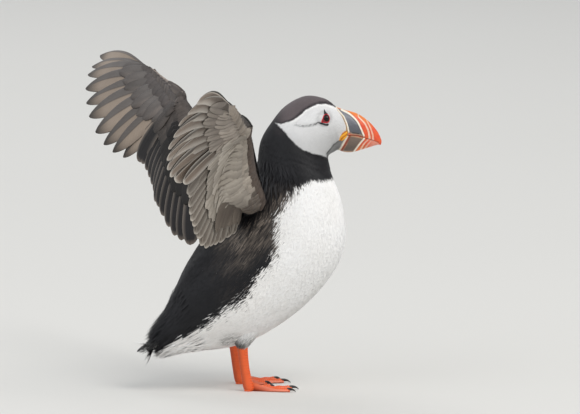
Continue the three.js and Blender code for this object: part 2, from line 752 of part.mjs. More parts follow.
/** A flat-oval solid between a leading and a trailing curve. */
function wingFlesh(leadingAt, trailingAt, halfThick, rows, count, grow = 0) {
  const rings = [];
  for (let r = 0; r <= rows; r += 1) {
    const t = r / rows;
    const step = 0.02;
    const lead = leadingAt(t);
    const trail = trailingAt(t);
    const centre = mix(lead, trail, 0.5);
    const chord = trail.clone().sub(lead).multiplyScalar(0.5);
    const later = mix(leadingAt(t + step), trailingAt(t + step), 0.5);
    const earlier = mix(leadingAt(t - step), trailingAt(t - step), 0.5);
    const normal = new THREE.Vector3().crossVectors(chord, later.sub(earlier)).normalize();
    const [thick] = along(halfThick.map((h) => [h]), t);
    chord.multiplyScalar(1 + grow / chord.length());
    rings.push(ellipse(centre, chord, normal.multiplyScalar(thick + grow), count));
  }
  return loft(rings);
}

for (const [key, wing] of Object.entries(WINGS)) {
  const p = wingPoints(wing);
  const firstPrimary = TERTIALS + SECONDARIES;
  const backOf = (point, x, z) => point.clone().add(new THREE.Vector3(x, 0, z));
  const trailRows = padded([
    backOf(p.shoulder, -20, 4),
    backOf(mix(p.shoulder, p.elbow, 0.6), -5, -5),
    backOf(p.elbow, -4, -1),
    backOf(mix(p.elbow, p.wrist, 0.5), -9, 0),
    backOf(p.wrist, -7, -4),
  ].map((q) => q.toArray()));
  const armLead = (t) => p.frontRoot.clone().lerp(p.frontWrist, t);
  const armTrail = (t) => vector(spline(trailRows, 1 + t * (trailRows.length - 3)));
  const arm = wingFlesh(armLead, armTrail, ARM_HALF_THICK, ARM_ROWS, ARM_AROUND);
  const armClear = wingFlesh(armLead, armTrail, ARM_HALF_THICK, ARM_ROWS, ARM_AROUND, GAP);

  const firstDirection = p.primaryTips[0].clone().sub(p.wrist).normalize();
  const lastDirection = p.primaryTips.at(-1).clone().sub(p.handTip).normalize();
  const bone = (t) => p.wrist.clone().lerp(p.handTip, t * HAND_OVERREACH);
  const direction = (t) => firstDirection.clone().lerp(lastDirection, t).normalize();
  const handLead = (t) => bone(t).addScaledVector(direction(t), -HAND_AHEAD);
  const handTrail = (t) => bone(t).addScaledVector(direction(t), HAND_BEHIND);
  const hand = wingFlesh(handLead, handTrail, HAND_HALF_THICK, HAND_ROWS, HAND_AROUND);
  const handClear = wingFlesh(handLead, handTrail, HAND_HALF_THICK, HAND_ROWS, HAND_AROUND, GAP);

  const alulaSpan = ALULA_LENGTH / p.wrist.distanceTo(p.handTip);
  const alulaPlace = (t) => bone(ALULA_START + t * alulaSpan);
  const alulaFront = (t) => -HAND_AHEAD - ALULA_WIDTH * Math.sin(Math.PI * lerp(0.15, 0.85, t));
  const alulaLead = (t) => alulaPlace(t).addScaledVector(direction(t), alulaFront(t));
  const alulaTrail = (t) => alulaPlace(t).addScaledVector(direction(t), 1 - HAND_AHEAD);
  const alula = wingFlesh(alulaLead, alulaTrail, ALULA_HALF_THICK, 6, HAND_AROUND);

  const feathers = flightFeathers(p, armTrail, handTrail);
  const last = TERTIALS + SECONDARIES + PRIMARIES - 1;
  const primaryPlaces = featherPlaces(firstPrimary, last, [-0.17, 0.17, 0.5]);
  const secondaryPlaces = featherPlaces(0, firstPrimary - 1, [0, 0.5]);
  const primaries = featherSheet(feathers, primaryPlaces, PRIMARY_NOTCH, wing.outward);
  const secondaries = featherSheet(feathers, secondaryPlaces, SECONDARY_NOTCH, wing.outward);

  addPart(`wing_arm_${key}`, arm.subtract(bodyClear), COLOURS.darkGrey, 0.9);
  addPart(`wing_hand_${key}`, hand.subtract(armClear), COLOURS.darkGrey, 0.9);
  addPart(`alula_${key}`, alula.subtract(handClear).subtract(armClear), COLOURS.black, 0.8);
  addPart(`primaries_${key}`, primaries, COLOURS.feather, 0.8);
  addPart(`secondaries_${key}`, secondaries, COLOURS.feather, 0.8);
}

export default group;
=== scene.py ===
"""Atlantic puffin with both wings raised and spread: skin, plumage, bill, eyes, legs and studio.

Shapes are worked out in millimetres in the bird's own frame: x the way it faces, y its left, z up.
WORLD_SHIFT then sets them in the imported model's frame, and MM turns millimetres into metres.
"""

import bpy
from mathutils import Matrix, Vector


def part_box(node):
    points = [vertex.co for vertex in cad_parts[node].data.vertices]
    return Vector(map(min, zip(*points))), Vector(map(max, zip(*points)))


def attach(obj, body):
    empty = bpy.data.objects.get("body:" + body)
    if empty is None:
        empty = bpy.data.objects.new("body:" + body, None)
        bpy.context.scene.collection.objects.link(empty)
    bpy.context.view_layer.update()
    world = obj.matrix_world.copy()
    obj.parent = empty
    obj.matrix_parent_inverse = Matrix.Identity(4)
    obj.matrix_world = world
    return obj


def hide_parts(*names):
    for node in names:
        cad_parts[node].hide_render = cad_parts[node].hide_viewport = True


bl_info = {
    "name": "Atlantic puffin model",
    "version": (1, 0, 0),
    "blender": (4, 5, 0),
    "location": "View3D > Sidebar > Puffin",
    "description": "Builds a life-size Atlantic puffin around its packed solids",
    "category": "Object",
}

import itertools
import math

import bpy
import numpy as np
from bpy.props import FloatProperty, FloatVectorProperty, PointerProperty
from mathutils import Matrix, Vector

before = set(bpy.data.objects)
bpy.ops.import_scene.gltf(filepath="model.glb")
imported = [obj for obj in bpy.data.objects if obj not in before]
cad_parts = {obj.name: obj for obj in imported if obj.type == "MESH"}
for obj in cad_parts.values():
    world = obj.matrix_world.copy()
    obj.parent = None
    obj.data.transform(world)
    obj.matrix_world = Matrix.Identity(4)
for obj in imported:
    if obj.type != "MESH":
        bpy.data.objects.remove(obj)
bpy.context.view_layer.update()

MM = 0.001
BODY = "root"
SIDES = {"R": -1, "L": 1}

# ------------------------------------------------------------------ design sizes of the bird

# Body stations [belly x, belly z, back x, back z, half width, share of the head's turn]
BODY_STATIONS = np.array([
    [-71, 35, -77, 47, 9, 0], [-54, 32, -69, 68, 21, 0], [-32, 32, -58, 94.5, 33, 0],
    [-6, 37, -44, 117, 42, 0], [22, 52.5, -31, 136, 46, 0], [48, 73, -20, 151.5, 47.5, 0],
    [68, 97.5, -10, 162.5, 46.5, 0], [75, 123.5, -2, 171.5, 42, 0], [71.5, 151, 3, 179.5, 35, 0.1],
    [64, 172, 4, 187.5, 29.5, 0.4], [62, 180.5, 5, 195.5, 26.5, 0.7], [61, 186, 7.5, 203.5, 24.5, 1],
    [62, 189, 14, 214, 22.5, 1], [65.5, 191, 25.5, 228, 20.5, 1], [68, 192.5, 41.5, 236.5, 19, 1],
    [69.5, 193, 56.5, 235, 16.5, 1], [71.5, 195, 65.5, 229.5, 13.5, 1],
    [74, 199.5, 71.5, 223.5, 11.2, 1], [76, 206, 75.3, 218, 8.4, 1],
])
BELLY_FULLNESS = 0.1
TURN_CENTRE_X = 32
HEAD_TURN = math.radians(-10)

CULMEN = np.array([[65, 228.2], [75, 225], [84.5, 222.1], [93.6, 215.8], [100.3, 208.1], [103.8, 200.6],
                   [103.4, 196.9]])
GAPE = np.array([[65, 207], [75.5, 205.7], [84, 205.4], [91, 203.2], [97, 201.2], [101, 199.1],
                 [102.4, 196.9]])
GONYS = np.array([[65, 194], [73.5, 191.2], [80.5, 191], [88, 193], [94.5, 195], [99, 196.4],
                  [101.6, 197]])
BILL_HALF_WIDTHS = np.array([[9.6], [9], [7.9], [6.3], [4.6], [2.7], [0.8]])
LOWER_BILL_SHARE = 0.93

EYE_DESIGN = np.array([59.1, 14.9, 219.9])
EYE_RADIUS = 3.05
ROSETTE_AT = np.array([72.6, 9.9, 205.0])
ROSETTE_RADII = np.array([4.9, 2.3, 2.9])
ROSETTE_TILT = math.radians(48)

LEG_SPREAD = 21
# Rings of thigh and tarsus from the top down [x, z, half length, half width]
THIGH_RINGS = np.array([[-9.5, 60, 19, 12], [-11.5, 45, 11.5, 8.5], [-12.6, 37, 5.6, 4.5]])
TARSUS_RINGS = np.array([
    [-13.2, 40, 4.6, 3.4], [-12.0, 28, 3.9, 2.8], [-10.4, 16, 3.8, 2.8], [-8.9, 8.6, 4.2, 3.3],
    [-7.9, 4.2, 4.4, 3.8], [-7.4, 1.7, 4.1, 3.7], [-7.1, 0.4, 2.9, 2.7],
])
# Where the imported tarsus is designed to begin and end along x
PACKED_TARSUS_BACK = -11.8 - 4.6
PACKED_TARSUS_FRONT = -8.6 + 4.2
ANKLE_X = -7.8
ANKLE_TOP = 8.3
HEEL_RADIUS = 3.4
# Each toe's degrees from straight ahead, its length and its claw's
TOES = {"inner": (30, 24, 6.5), "middle": (3, 36, 8.5), "outer": (-20, 34, 7.5)}

TAIL_ROOT = np.array([-66, 51.5])
TAIL_LENGTH = 36
TAIL_DROOP = math.radians(35)
TAIL_FEATHERS = 12

# Wing points [x, outward y, z]
WINGS = {
    "R": {
        "shoulder": [6.7, 30, 153.6], "elbow": [-35, 80, 167], "wrist": [-18.1, 85, 219.2],
        "hand_tip": [-39.9, 133, 243.5], "front_root": [5, 25, 150], "front_wrist": [-17, 86, 218],
        "primary_tips": [
            [-78.8, 131.3, 184.1], [-86.3, 134.1, 186.8], [-91.4, 144.3, 192.2], [-95.5, 157.9, 200.2],
            [-97.9, 174.1, 209.7], [-98.6, 188.4, 220.5], [-96.5, 201.7, 230.6], [-93.6, 212.7, 241.5],
            [-87.6, 222.1, 251], [-80.9, 226.4, 260.2]],
        "secondary_tips": [
            [-23, 43, 131], [-36.6, 52, 123.9], [-47.8, 64, 122.7], [-58.2, 78, 130.3],
            [-65.3, 92, 144.2], [-70, 106, 159.6], [-73.5, 119, 174.6]],
    },
    "L": {
        "shoulder": [6.7, 30, 153.6], "elbow": [-41, 68, 176], "wrist": [-43, 85, 227.2],
        "hand_tip": [-61.2, 137, 245.2], "front_root": [5, 25, 150], "front_wrist": [-42, 87, 228],
        "primary_tips": [
            [-86.1, 133.4, 173.7], [-93.8, 140.1, 177.4], [-99.6, 151.4, 182.7], [-104.2, 166.4, 191.4],
            [-106.9, 183.5, 202.7], [-107, 198.3, 212.2], [-105.6, 211.2, 223], [-101.8, 222.9, 233.3],
            [-96.9, 231.9, 239.1], [-89.4, 236.7, 247.7]],
        "secondary_tips": [
            [-26, 38, 124], [-47.3, 46, 112.3], [-57.6, 62, 122.6], [-65.4, 80, 137.8],
            [-67.3, 94, 151], [-70.4, 106, 164.5], [-76.5, 118, 171.6]],
    },
}
INNER_FEATHERS = 15  # three tertials and twelve secondaries
PRIMARIES = 10
BEYOND_SHOULDER = 4  # feather places counted on past the innermost tertial
ARM_HALF_THICK = np.array([[11], [7], [4.6], [3.6], [3]])
HAND_HALF_THICK = np.array([[3], [2.5], [1.7], [1.1]])

# Where the white of the underside begins: [station, degrees round from the back]
FLANK_EDGE = np.array([
    [0, 118], [0.65, 115], [1.07, 100], [1.48, 106], [2.1, 104], [2.6, 99], [2.98, 95], [3.45, 98],
    [3.98, 92], [4.38, 86], [4.83, 87], [5.25, 84], [5.62, 76], [6.05, 68], [6.45, 61], [7.25, 66],
    [8.1, 78], [8.75, 106], [9.12, 157], [9.35, 190], [18, 190],
])
# Outline of the pale face and of the grey strip under the cheek, in the head's own side view
FACE_OUTLINE = np.array([
    [18.5, 217.1], [23.6, 216.5], [29.2, 218.1], [34.3, 219.8], [38.3, 222.7], [43.2, 226.9],
    [48.6, 229.6], [54.1, 231.1], [60.1, 230.7], [65.9, 228.2], [69, 226.5], [80, 222], [80, 205],
    [74, 204], [69.2, 201.5], [64.6, 197.5], [60.2, 191.5], [60.2, 188.2], [56.3, 190.6],
    [47.7, 193.4], [40.8, 196.5], [35.4, 200.8], [29.9, 206.3], [25.4, 211.5], [21.6, 214.8],
])
STRIP_OUTLINE = np.array([[82, 206], [74, 204], [69.2, 201.5], [64.6, 197.5], [60.4, 191.5], [61, 186.5],
                          [66, 190], [72, 190], [80, 190]])
EYE_CREASE = np.array([[53.8, 216.9], [50.1, 215.7], [46, 214.8], [42, 214.6], [37.9, 215.2],
                       [34.7, 216.1]])
# Front edge of the feathering against the bill [z, u]
BILL_BASE = np.array([[186, 66], [190, 68.4], [192.7, 70], [197.8, 72.7], [203.3, 75.5], [207.8, 76.4],
                      [212.4, 75.5], [215, 74.8], [220.3, 72.4], [224.1, 69], [226.5, 66.8], [229, 64]])


# ------------------------------------------------------------------ arithmetic

def spline(rows, s):
    """Smooth curve through the rows, straight beyond its ends: each span is the cubic that has at both ends
    the mean slope of its neighbours."""
    s = np.asarray(s, float)
    last = len(rows) - 1
    i = np.clip(np.floor(s).astype(int), 0, last - 1)
    t = (s - i)[..., None]
    a, b, c, d = rows[np.maximum(i - 1, 0)], rows[i], rows[i + 1], rows[np.minimum(i + 2, last)]
    slope_b, slope_c, rise = (c - a) / 2, (d - b) / 2, c - b
    curve = b + t * (slope_b + t * (3 * rise - 2 * slope_b - slope_c + t * (slope_b + slope_c - 2 * rise)))
    return np.where((t < 0) | (t > 1), b + rise * t, curve)


def along(rows, u):
    """The same curve with u from 0 at the first row to 1 at the last."""
    return spline(rows, np.asarray(u, float) * (len(rows) - 1))


def unit(vectors):
    """Each vector divided by its own length."""
    return vectors / np.maximum(np.linalg.norm(vectors, axis=-1, keepdims=True), 1e-9)


def mix(a, b, t):
    """a + (b - a) t."""
    return a + (b - a) * t


def ease(low, high, x):
    """0 below low, 1 above high, and 3t^2 - 2t^3 between."""
    t = np.clip((x - low) / (high - low), 0, 1)
    return t * t * (3 - 2 * t)


def bump_at(x, centre, width):
    """The bell exp(-((x - centre) / width)^2)."""
    return np.exp(-((x - centre) / width) ** 2)


def ripple(points, size, seed):
    """Smooth noise from about -1 to 1: the mean of sine waves running in seeded random directions."""
    rng = np.random.default_rng(seed)
    waves = rng.normal(size=(7, 3))
    waves = unit(waves) * rng.uniform(0.6, 1.6, (7, 1)) * (2 * math.pi / size)
    phases = rng.uniform(0, 2 * math.pi, 7)
    return np.sin(points @ waves.T + phases).sum(-1) / 3


def paint(code):
    """A colour written as six hex digits, as linear red, green and blue."""
    parts = np.array([int(code[i:i + 2], 16) / 255 for i in (0, 2, 4)])
    return np.where(parts <= 0.04045, parts / 12.92, ((parts + 0.055) / 1.055) ** 2.4)


def even_pairs(count, seed):
    """Evenly strewn points of the unit square: whole multiples of two irrational steps, taken modulo 1."""
    steps = np.array([0.7548776662466927, 0.5698402909980532])
    return (np.arange(1, count + 1)[:, None] * steps + seed * 0.137) % 1


def from_sides(a, b, u, z):
    """Distance from (u, z) to each side from a to b, and the nearest place along it, from 0 to 1."""
    p = np.stack([u, z], -1)[..., None, :]
    side = b - a
    t = np.clip(((p - a) * side).sum(-1) / (side ** 2).sum(-1), 0, 1)
    return np.linalg.norm(p - a - side * t[..., None], axis=-1), t


def polygon_depth(outline, u, z):
    """Distance inside a closed outline, negative outside: the least to any side, signed by crossings."""
    a, b = outline, np.roll(outline, -1, 0)
    distance = from_sides(a, b, u, z)[0].min(-1)
    u, z = np.asarray(u)[..., None], np.asarray(z)[..., None]
    spans = (a[:, 1] > z) != (b[:, 1] > z)
    rise = np.where(b[:, 1] == a[:, 1], 1e-9, b[:, 1] - a[:, 1])
    crossing = a[:, 0] + (z - a[:, 1]) * (b[:, 0] - a[:, 0]) / rise
    inside = (spans & (u < crossing)).sum(-1) % 2 == 1
    return np.where(inside, distance, -distance)


def line_distance(line, u, z):
    """Distance to an open polyline and the place along it, from 0 to 1, that is nearest."""
    distance, t = from_sides(line[:-1], line[1:], u, z)
    closest = distance.argmin(-1)
    place = np.take_along_axis(t, closest[..., None], -1)[..., 0] + closest
    return distance.min(-1), place / (len(line) - 1)


def nearest(points, samples):
    """For each point the index of the nearest sample: the least of |sample|^2 - 2 point . sample."""
    index = np.empty(len(points), int)
    squares = (samples ** 2).sum(1)
    for part in np.array_split(np.arange(len(points)), 1 + len(points) // 2000):
        index[part] = (squares - 2 * points[part] @ samples.T).argmin(1)
    return index


# ------------------------------------------------------------------ settings

def colour_setting(name, description, code):
    """A colour that the user can change, from six hex digits."""
    return FloatVectorProperty(name=name, description=description, default=tuple(paint(code)), size=3,
                               min=0, max=1, subtype="COLOR")


def length_setting(name, description, millimetres):
    """A length that the user can change, from millimetres."""
    return FloatProperty(name=name, description=description, default=millimetres * MM, min=0,
                         subtype="DISTANCE", unit="LENGTH", precision=5)


class PuffinPlumage(bpy.types.PropertyGroup):
    """Sizes and colours of the small body feathers."""

    body_depth: length_setting("Body coat depth", "How far the skin lies under the body feathers", 1.1)
    face_depth: length_setting("Face coat depth", "How far the skin lies under the face feathers", 0.35)
    body_tuft: length_setting("Body tuft length", "Length of a tuft on the breast and back", 8.0)
    face_tuft: length_setting("Face tuft length", "Length of a tuft beside the bill", 2.3)
    body_density: FloatProperty(name="Body tufts", description="Tufts per square millimetre of body",
                                default=1.0, min=0.05, max=3)
    face_density: FloatProperty(name="Face tufts", description="Tufts per square millimetre of face",
                                default=4.6, min=0.1, max=6)
    black: colour_setting("Black", "Back, collar and tail", "131317")
    white: colour_setting("White", "Breast and belly", "fbfaf8")
    crown: colour_setting("Crown", "Top of the head", "635a5c")
    face: colour_setting("Face", "Side of the head", "e2e2e2")
    flank: colour_setting("Flank", "Loose feathers under the wing", "6b615a")


class PuffinWings(bpy.types.PropertyGroup):
    """Sizes and colours of the flight feathers and coverts."""

    shaft: length_setting("Shaft height", "How far a feather's shaft stands out of its vane", 0.32)
    vane: length_setting("Vane thickness", "Half the thickness of a vane beside its shaft", 0.22)
    upper_outer: colour_setting("Upper outer vane", "Leading half of a primary from above", "66615e")
    upper_inner: colour_setting("Upper inner vane", "Trailing half of a primary from above", "a19284")
    under_outer: colour_setting("Under outer vane", "Leading half of a primary from below", "6b625a")
    under_inner: colour_setting("Under inner vane", "Trailing half of a primary from below", "a39182")
    dark: colour_setting("Dark wing", "Secondaries and coverts from above", "232123")


class PuffinBill(bpy.types.PropertyGroup):
    """Sizes and colours of the bill, its soft rim and the rosettes."""

    groove: length_setting("Groove depth", "Depth of the grooves across the bill", 0.3)
    ridge: length_setting("Ridge height", "Height of the pale ridge across the bill", 0.4)
    red: colour_setting("Bill red", "Front of the bill", "e8502c")
    plate: colour_setting("Bill plate", "Blue-grey base of the upper bill", "686a72")
    lower_plate: colour_setting("Lower plate", "Grey-brown base of the lower bill", "847870")
    cream: colour_setting("Cream", "Soft rim and pale ridges", "f1e9d8")
    rosette: colour_setting("Rosette", "Folded skin at the corner of the mouth", "f2a51e")


class PuffinEyes(bpy.types.PropertyGroup):
    """Sizes and colours of the eyes and the bare pieces round them."""

    pupil: length_setting("Pupil radius", "Radius of the pupil", 1.5)
    lid: length_setting("Lid thickness", "Half thickness of the red lid edge", 0.4)
    iris: colour_setting("Iris", "Ring round the pupil", "241a18")
    lid_red: colour_setting("Lid red", "Edge of the eyelids", "cf2230")
    plate: colour_setting("Eye plate", "Horny plates above and below the eye", "232a2c")


class PuffinLegs(bpy.types.PropertyGroup):
    """Sizes and colours of the legs, webs and claws."""

    scale_size: length_setting("Scute length", "Length of a scute on the front of the leg", 2.1)
    orange: colour_setting("Leg orange", "Leg and toes", "f2682f")
    web: colour_setting("Web", "Skin between the toes", "fb9677")
    claw: colour_setting("Claw", "Claws", "1c1a19")


class PuffinStudio(bpy.types.PropertyGroup):
    """The floor, the light and the camera."""

    floor: colour_setting("Floor", "Plain pale floor", "d9d8d4")
    distance: FloatProperty(name="Camera distance", description="From the camera to the bird", default=6,
                            min=1, subtype="DISTANCE", unit="LENGTH")
    lens: FloatProperty(name="Lens", description="Focal length", default=459.8, min=10,
                        subtype="DISTANCE_CAMERA")
    turn: FloatProperty(name="Camera turn", description="How far round from the bird's right side",
                        default=math.radians(10), subtype="ANGLE")
    height: FloatProperty(name="Camera elevation", description="Angle of the view below the horizon",
                          default=math.radians(7), subtype="ANGLE")
    key_power: FloatProperty(name="Key light", description="Power of the main soft light", default=95, min=0,
                             subtype="POWER")
    sky: FloatProperty(name="Sky light", description="Strength of the light from all round", default=0.62,
                       min=0)


SETTINGS = {"plumage": PuffinPlumage, "wings": PuffinWings, "bill": PuffinBill, "eyes": PuffinEyes,
            "legs": PuffinLegs, "studio": PuffinStudio}


def setting(group):
    """The scene's settings of one group."""
    return getattr(bpy.context.scene, "puffin_" + group)


def hue(group, name):
    """A colour setting as an array."""
    return np.array(getattr(setting(group), name))


def size(group, name):
    """A length setting in millimetres."""
    return getattr(setting(group), name) / MM


# ------------------------------------------------------------------ mesh making

def world_shift():
    """From the bird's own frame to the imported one: the middle of the legs' box less its designed place."""
    low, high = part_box("tarsus_R")
    other_low, other_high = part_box("tarsus_L")
    middle = (np.array(low) + np.array(high) + np.array(other_low) + np.array(other_high)) / 4 / MM
    designed = (PACKED_TARSUS_BACK + PACKED_TARSUS_FRONT) / 2
    return np.array([middle[0] - designed, middle[1], 0])


WORLD_SHIFT = world_shift()


def new_piece(name, points, faces, colours=None, slot=None, replaces=(), material=None, maps=None):
    """A mesh piece from (n, 3) points in millimetres and arrays of corners. Its colours and maps hold a row
    for each point or each corner."""
    mesh = bpy.data.meshes.new(name)
    corners = np.concatenate([part.ravel() for part in faces]).astype(np.int32)
    sizes = np.concatenate([np.full(len(part), part.shape[1]) for part in faces])
    starts = np.concatenate([[0], np.cumsum(sizes)[:-1]]).astype(np.int32)
    mesh.vertices.add(len(points))
    mesh.loops.add(len(corners))
    mesh.polygons.add(len(sizes))
    mesh.vertices.foreach_set("co", ((points + WORLD_SHIFT) * MM).astype(np.float32).ravel())
    mesh.loops.foreach_set("vertex_index", corners)
    mesh.polygons.foreach_set("loop_start", starts)
    mesh.polygons.foreach_set("use_smooth", np.ones(len(sizes), bool))
    for map_name, values in (maps or {}).items():
        layer = mesh.uv_layers.new(name=map_name)
        spread = values if len(values) == len(corners) else values[corners]
        layer.data.foreach_set("uv", spread.astype(np.float32).ravel())
    if colours is not None:
        domain = "POINT" if len(colours) == len(points) else "CORNER"
        layer = mesh.attributes.new("plumage", "FLOAT_COLOR", domain)
        full = np.concatenate([colours, np.ones((len(colours), 1))], 1)
        layer.data.foreach_set("color", full.astype(np.float32).ravel())
    mesh.update(calc_edges=True)
    mesh.validate()
    piece = bpy.data.objects.new(name, mesh)
    bpy.context.scene.collection.objects.link(piece)
    if material:
        mesh.materials.append(material)
    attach(piece, BODY)
    if replaces:
        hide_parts(*replaces)
    return piece


def tube_faces(items, rows, ring):
    """Corners of closed tubes, each of rows x ring points and then one tip point, with a flat root cap."""
    stride = rows * ring + 1
    first = np.arange(items)[:, None, None] * stride
    r = np.arange(rows - 1)[None, :, None] * ring
    k = np.arange(ring)[None, None, :]
    after = (k + 1) % ring
    quads = np.stack([first + r + k, first + r + after, first + r + ring + after, first + r + ring + k], -1)
    end = first[:, 0] + (rows - 1) * ring
    tip = np.broadcast_to(first[:, 0] + rows * ring, (items, ring))
    fans = np.stack([end + k[0], end + after[0], tip], -1)
    caps = first[:, 0] + k[0][:, ::-1]
    return [quads.reshape(-1, 4), fans.reshape(-1, 3), caps.reshape(-1, ring)]


def tube_points(rings, tips):
    """Flattens (items, rows, ring, k) and (items, k) to the order that tube_faces expects."""
    items, rows, ring, k = rings.shape
    return np.concatenate([rings.reshape(items, rows * ring, k), tips[:, None, :]], 1).reshape(-1, k)


def outward(points, faces):
    """Turns all faces round if the volume they enclose comes out negative."""
    tris = np.concatenate([part[:, [0, i, i + 1]] for part in faces for i in range(1, part.shape[1] - 1)])
    a, b, c = points[tris[:, 0]], points[tris[:, 1]], points[tris[:, 2]]
    volume = (a * np.cross(b, c)).sum()
    return [part[:, ::-1] for part in faces] if volume < 0 else faces


def closed_end(rings):
    """The points or colours of one tube of (rows, ring, 3) values, with the last ring's mean as its tip."""
    return tube_points(rings[None], rings[-1].mean(0)[None])


def lofted(rings):
    """One closed tube through (rows, ring, 3) points, its far end drawn to that ring's middle."""
    points = closed_end(rings)
    return points, outward(points, tube_faces(1, *rings.shape[:2]))


def tube_piece(name, rings, tone, slot, material, replaces=()):
    """A piece that is one closed tube, with a colour for each of its points."""
    new_piece(name, *lofted(rings), closed_end(tone), slot, replaces, material)


# ------------------------------------------------------------------ surfaces of the body

def turned(points, share=1.0):
    """Turns points of the head's own frame about the upright line at TURN_CENTRE_X."""
    angle = HEAD_TURN * np.asarray(share, float)
    dx, y = points[..., 0] - TURN_CENTRE_X, points[..., 1]
    c, s = np.cos(angle), np.sin(angle)
    return np.stack([TURN_CENTRE_X + dx * c - y * s, dx * s + y * c, points[..., 2]], -1)


def in_head(points):
    """The reverse: points of the bird's frame as the head's own u (forward), v (left) and z."""
    dx, y = points[..., 0] - TURN_CENTRE_X, points[..., 1]
    c, s = math.cos(HEAD_TURN), math.sin(HEAD_TURN)
    return TURN_CENTRE_X + dx * c + y * s, y * c - dx * s, points[..., 2]


def body_point(s, phi, grow):
    """Body surface: an oval round the line from belly to back, phi from 0 at the back to pi at the belly."""
    s, phi, grow = np.broadcast_arrays(s, phi, grow)
    belly_x, belly_z, back_x, back_z, width, share = np.moveaxis(spline(BODY_STATIONS, s), -1, 0)
    half_x, half_z = (back_x - belly_x) / 2, (back_z - belly_z) / 2
    rise = np.cos(phi) * (1 + grow / np.hypot(half_x, half_z))
    side = np.sin(phi) * (width + grow) * (1 - BELLY_FULLNESS * np.cos(phi))
    raw = np.stack([(belly_x + back_x) / 2 + half_x * rise, side, (belly_z + back_z) / 2 + half_z * rise], -1)
    return turned(raw, share)


def head_relief(u, v, z):
    """Folds of the head: the crease behind the eye, the brow and cheek beside it, and the rim at the eye."""
    crease, place = line_distance(EYE_CREASE, u, z)
    deep = -1.0 * np.exp(-(crease / 0.9) ** 2) * (1 - 0.7 * place)
    swell = 0.35 * np.exp(-((crease - 3) / 2.2) ** 2) * (1 - 0.6 * place)
    from_eye = np.hypot(u - EYE_DESIGN[0], z - EYE_DESIGN[2])
    rim = 0.5 * bump_at(from_eye, 4.6, 1.3)
    return np.where(np.abs(v) > 4, deep + swell + rim, 0)


def body_surface(s, phi, height):
    """The body with the head's folds, height millimetres out from the designed outer surface."""
    s, phi, height = np.broadcast_arrays(s, phi, height)
    folds = np.sin(s * 9 + 2.2 * np.sin(phi * 2) + np.sin(phi * 5)) * bump_at(s, 9.6, 0.8)
    relief = 0.45 * folds * np.abs(np.sin(phi)) + 0.5 * np.sin(phi * 9 + s * 2.1) * bump_at(s, 4, 3.2)
    on_head = s > 12
    if on_head.any():
        relief[on_head] = head_relief(*in_head(body_point(s[on_head], phi[on_head], 0.0)))
    return body_point(s, phi, height + relief)


def coat_depth(s):
    """How deep the skin lies: the body's depth, easing to the face's over the neck."""
    return mix(size("plumage", "body_depth"), size("plumage", "face_depth"), ease(8, 13, s))


def thigh_surface(side):
    """A leg's feathered top: upright ovals along the smooth curve through THIGH_RINGS, t from 0 to 1."""
    def surface(t, psi, height):
        t, psi, height = np.broadcast_arrays(t, psi, height)
        x, z, long, wide = np.moveaxis(along(THIGH_RINGS, t), -1, 0)
        return np.stack([x + np.cos(psi) * (long + height),
                         side * (LEG_SPREAD + np.sin(psi) * (wide + height)), z], -1)
    return surface


# ------------------------------------------------------------------ surfaces of the wings

def wing_rows(key):
    """The flesh's leading and trailing edge, the feather's tip and the flesh's half thickness, at each
    feather place."""
    wing = {name: np.array(p, float) * [1, SIDES[key], 1] for name, p in WINGS[key].items()}
    shoulder, elbow, wrist, hand_tip = (wing[name] for name in ("shoulder", "elbow", "wrist", "hand_tip"))
    trail_rows = np.array([
        shoulder + [-20, 0, 4], mix(shoulder, elbow, 0.6) + [-5, 0, -5], elbow + [-4, 0, -1],
        mix(elbow, wrist, 0.5) + [-9, 0, 0], wrist + [-7, 0, -4]])
    trail_rows = np.concatenate([[2 * trail_rows[0] - trail_rows[1]], trail_rows,
                                 [2 * trail_rows[-1] - trail_rows[-2]]])
    primary_tips = wing["primary_tips"]
    first, last = unit(primary_tips[0] - wrist), unit(primary_tips[-1] - hand_tip)
    places = np.arange(-BEYOND_SHOULDER, INNER_FEATHERS)
    t = mix(0.26, 0.97, places / (INNER_FEATHERS - 1))
    lead = mix(wing["front_root"], wing["front_wrist"], t[:, None])
    trail = spline(trail_rows, 1 + t * 4)
    thick = along(ARM_HALF_THICK, t)
    inner_tips = along(wing["secondary_tips"], np.clip(places / (INNER_FEATHERS - 1), 0, 1))
    inner_tips = inner_tips + np.where(places[:, None] < 0, trail - trail[BEYOND_SHOULDER], 0)
    h = (np.arange(PRIMARIES) + 0.5) / PRIMARIES
    bone = mix(wrist, hand_tip, h[:, None] * 1.08)
    direction = unit(mix(first, last, h[:, None]))
    lead = np.concatenate([lead, bone - direction * 4.4])
    trail = np.concatenate([trail, bone + direction * 8])
    thick = np.concatenate([thick, along(HAND_HALF_THICK, h)])
    tips = np.concatenate([inner_tips, primary_tips])
    rows = np.concatenate([lead, trail, tips, thick], 1)
    ends = [2 * rows[0] - rows[1], 2 * rows[-1] - rows[-2]]
    return np.concatenate([[ends[0]], rows, [ends[1]]])


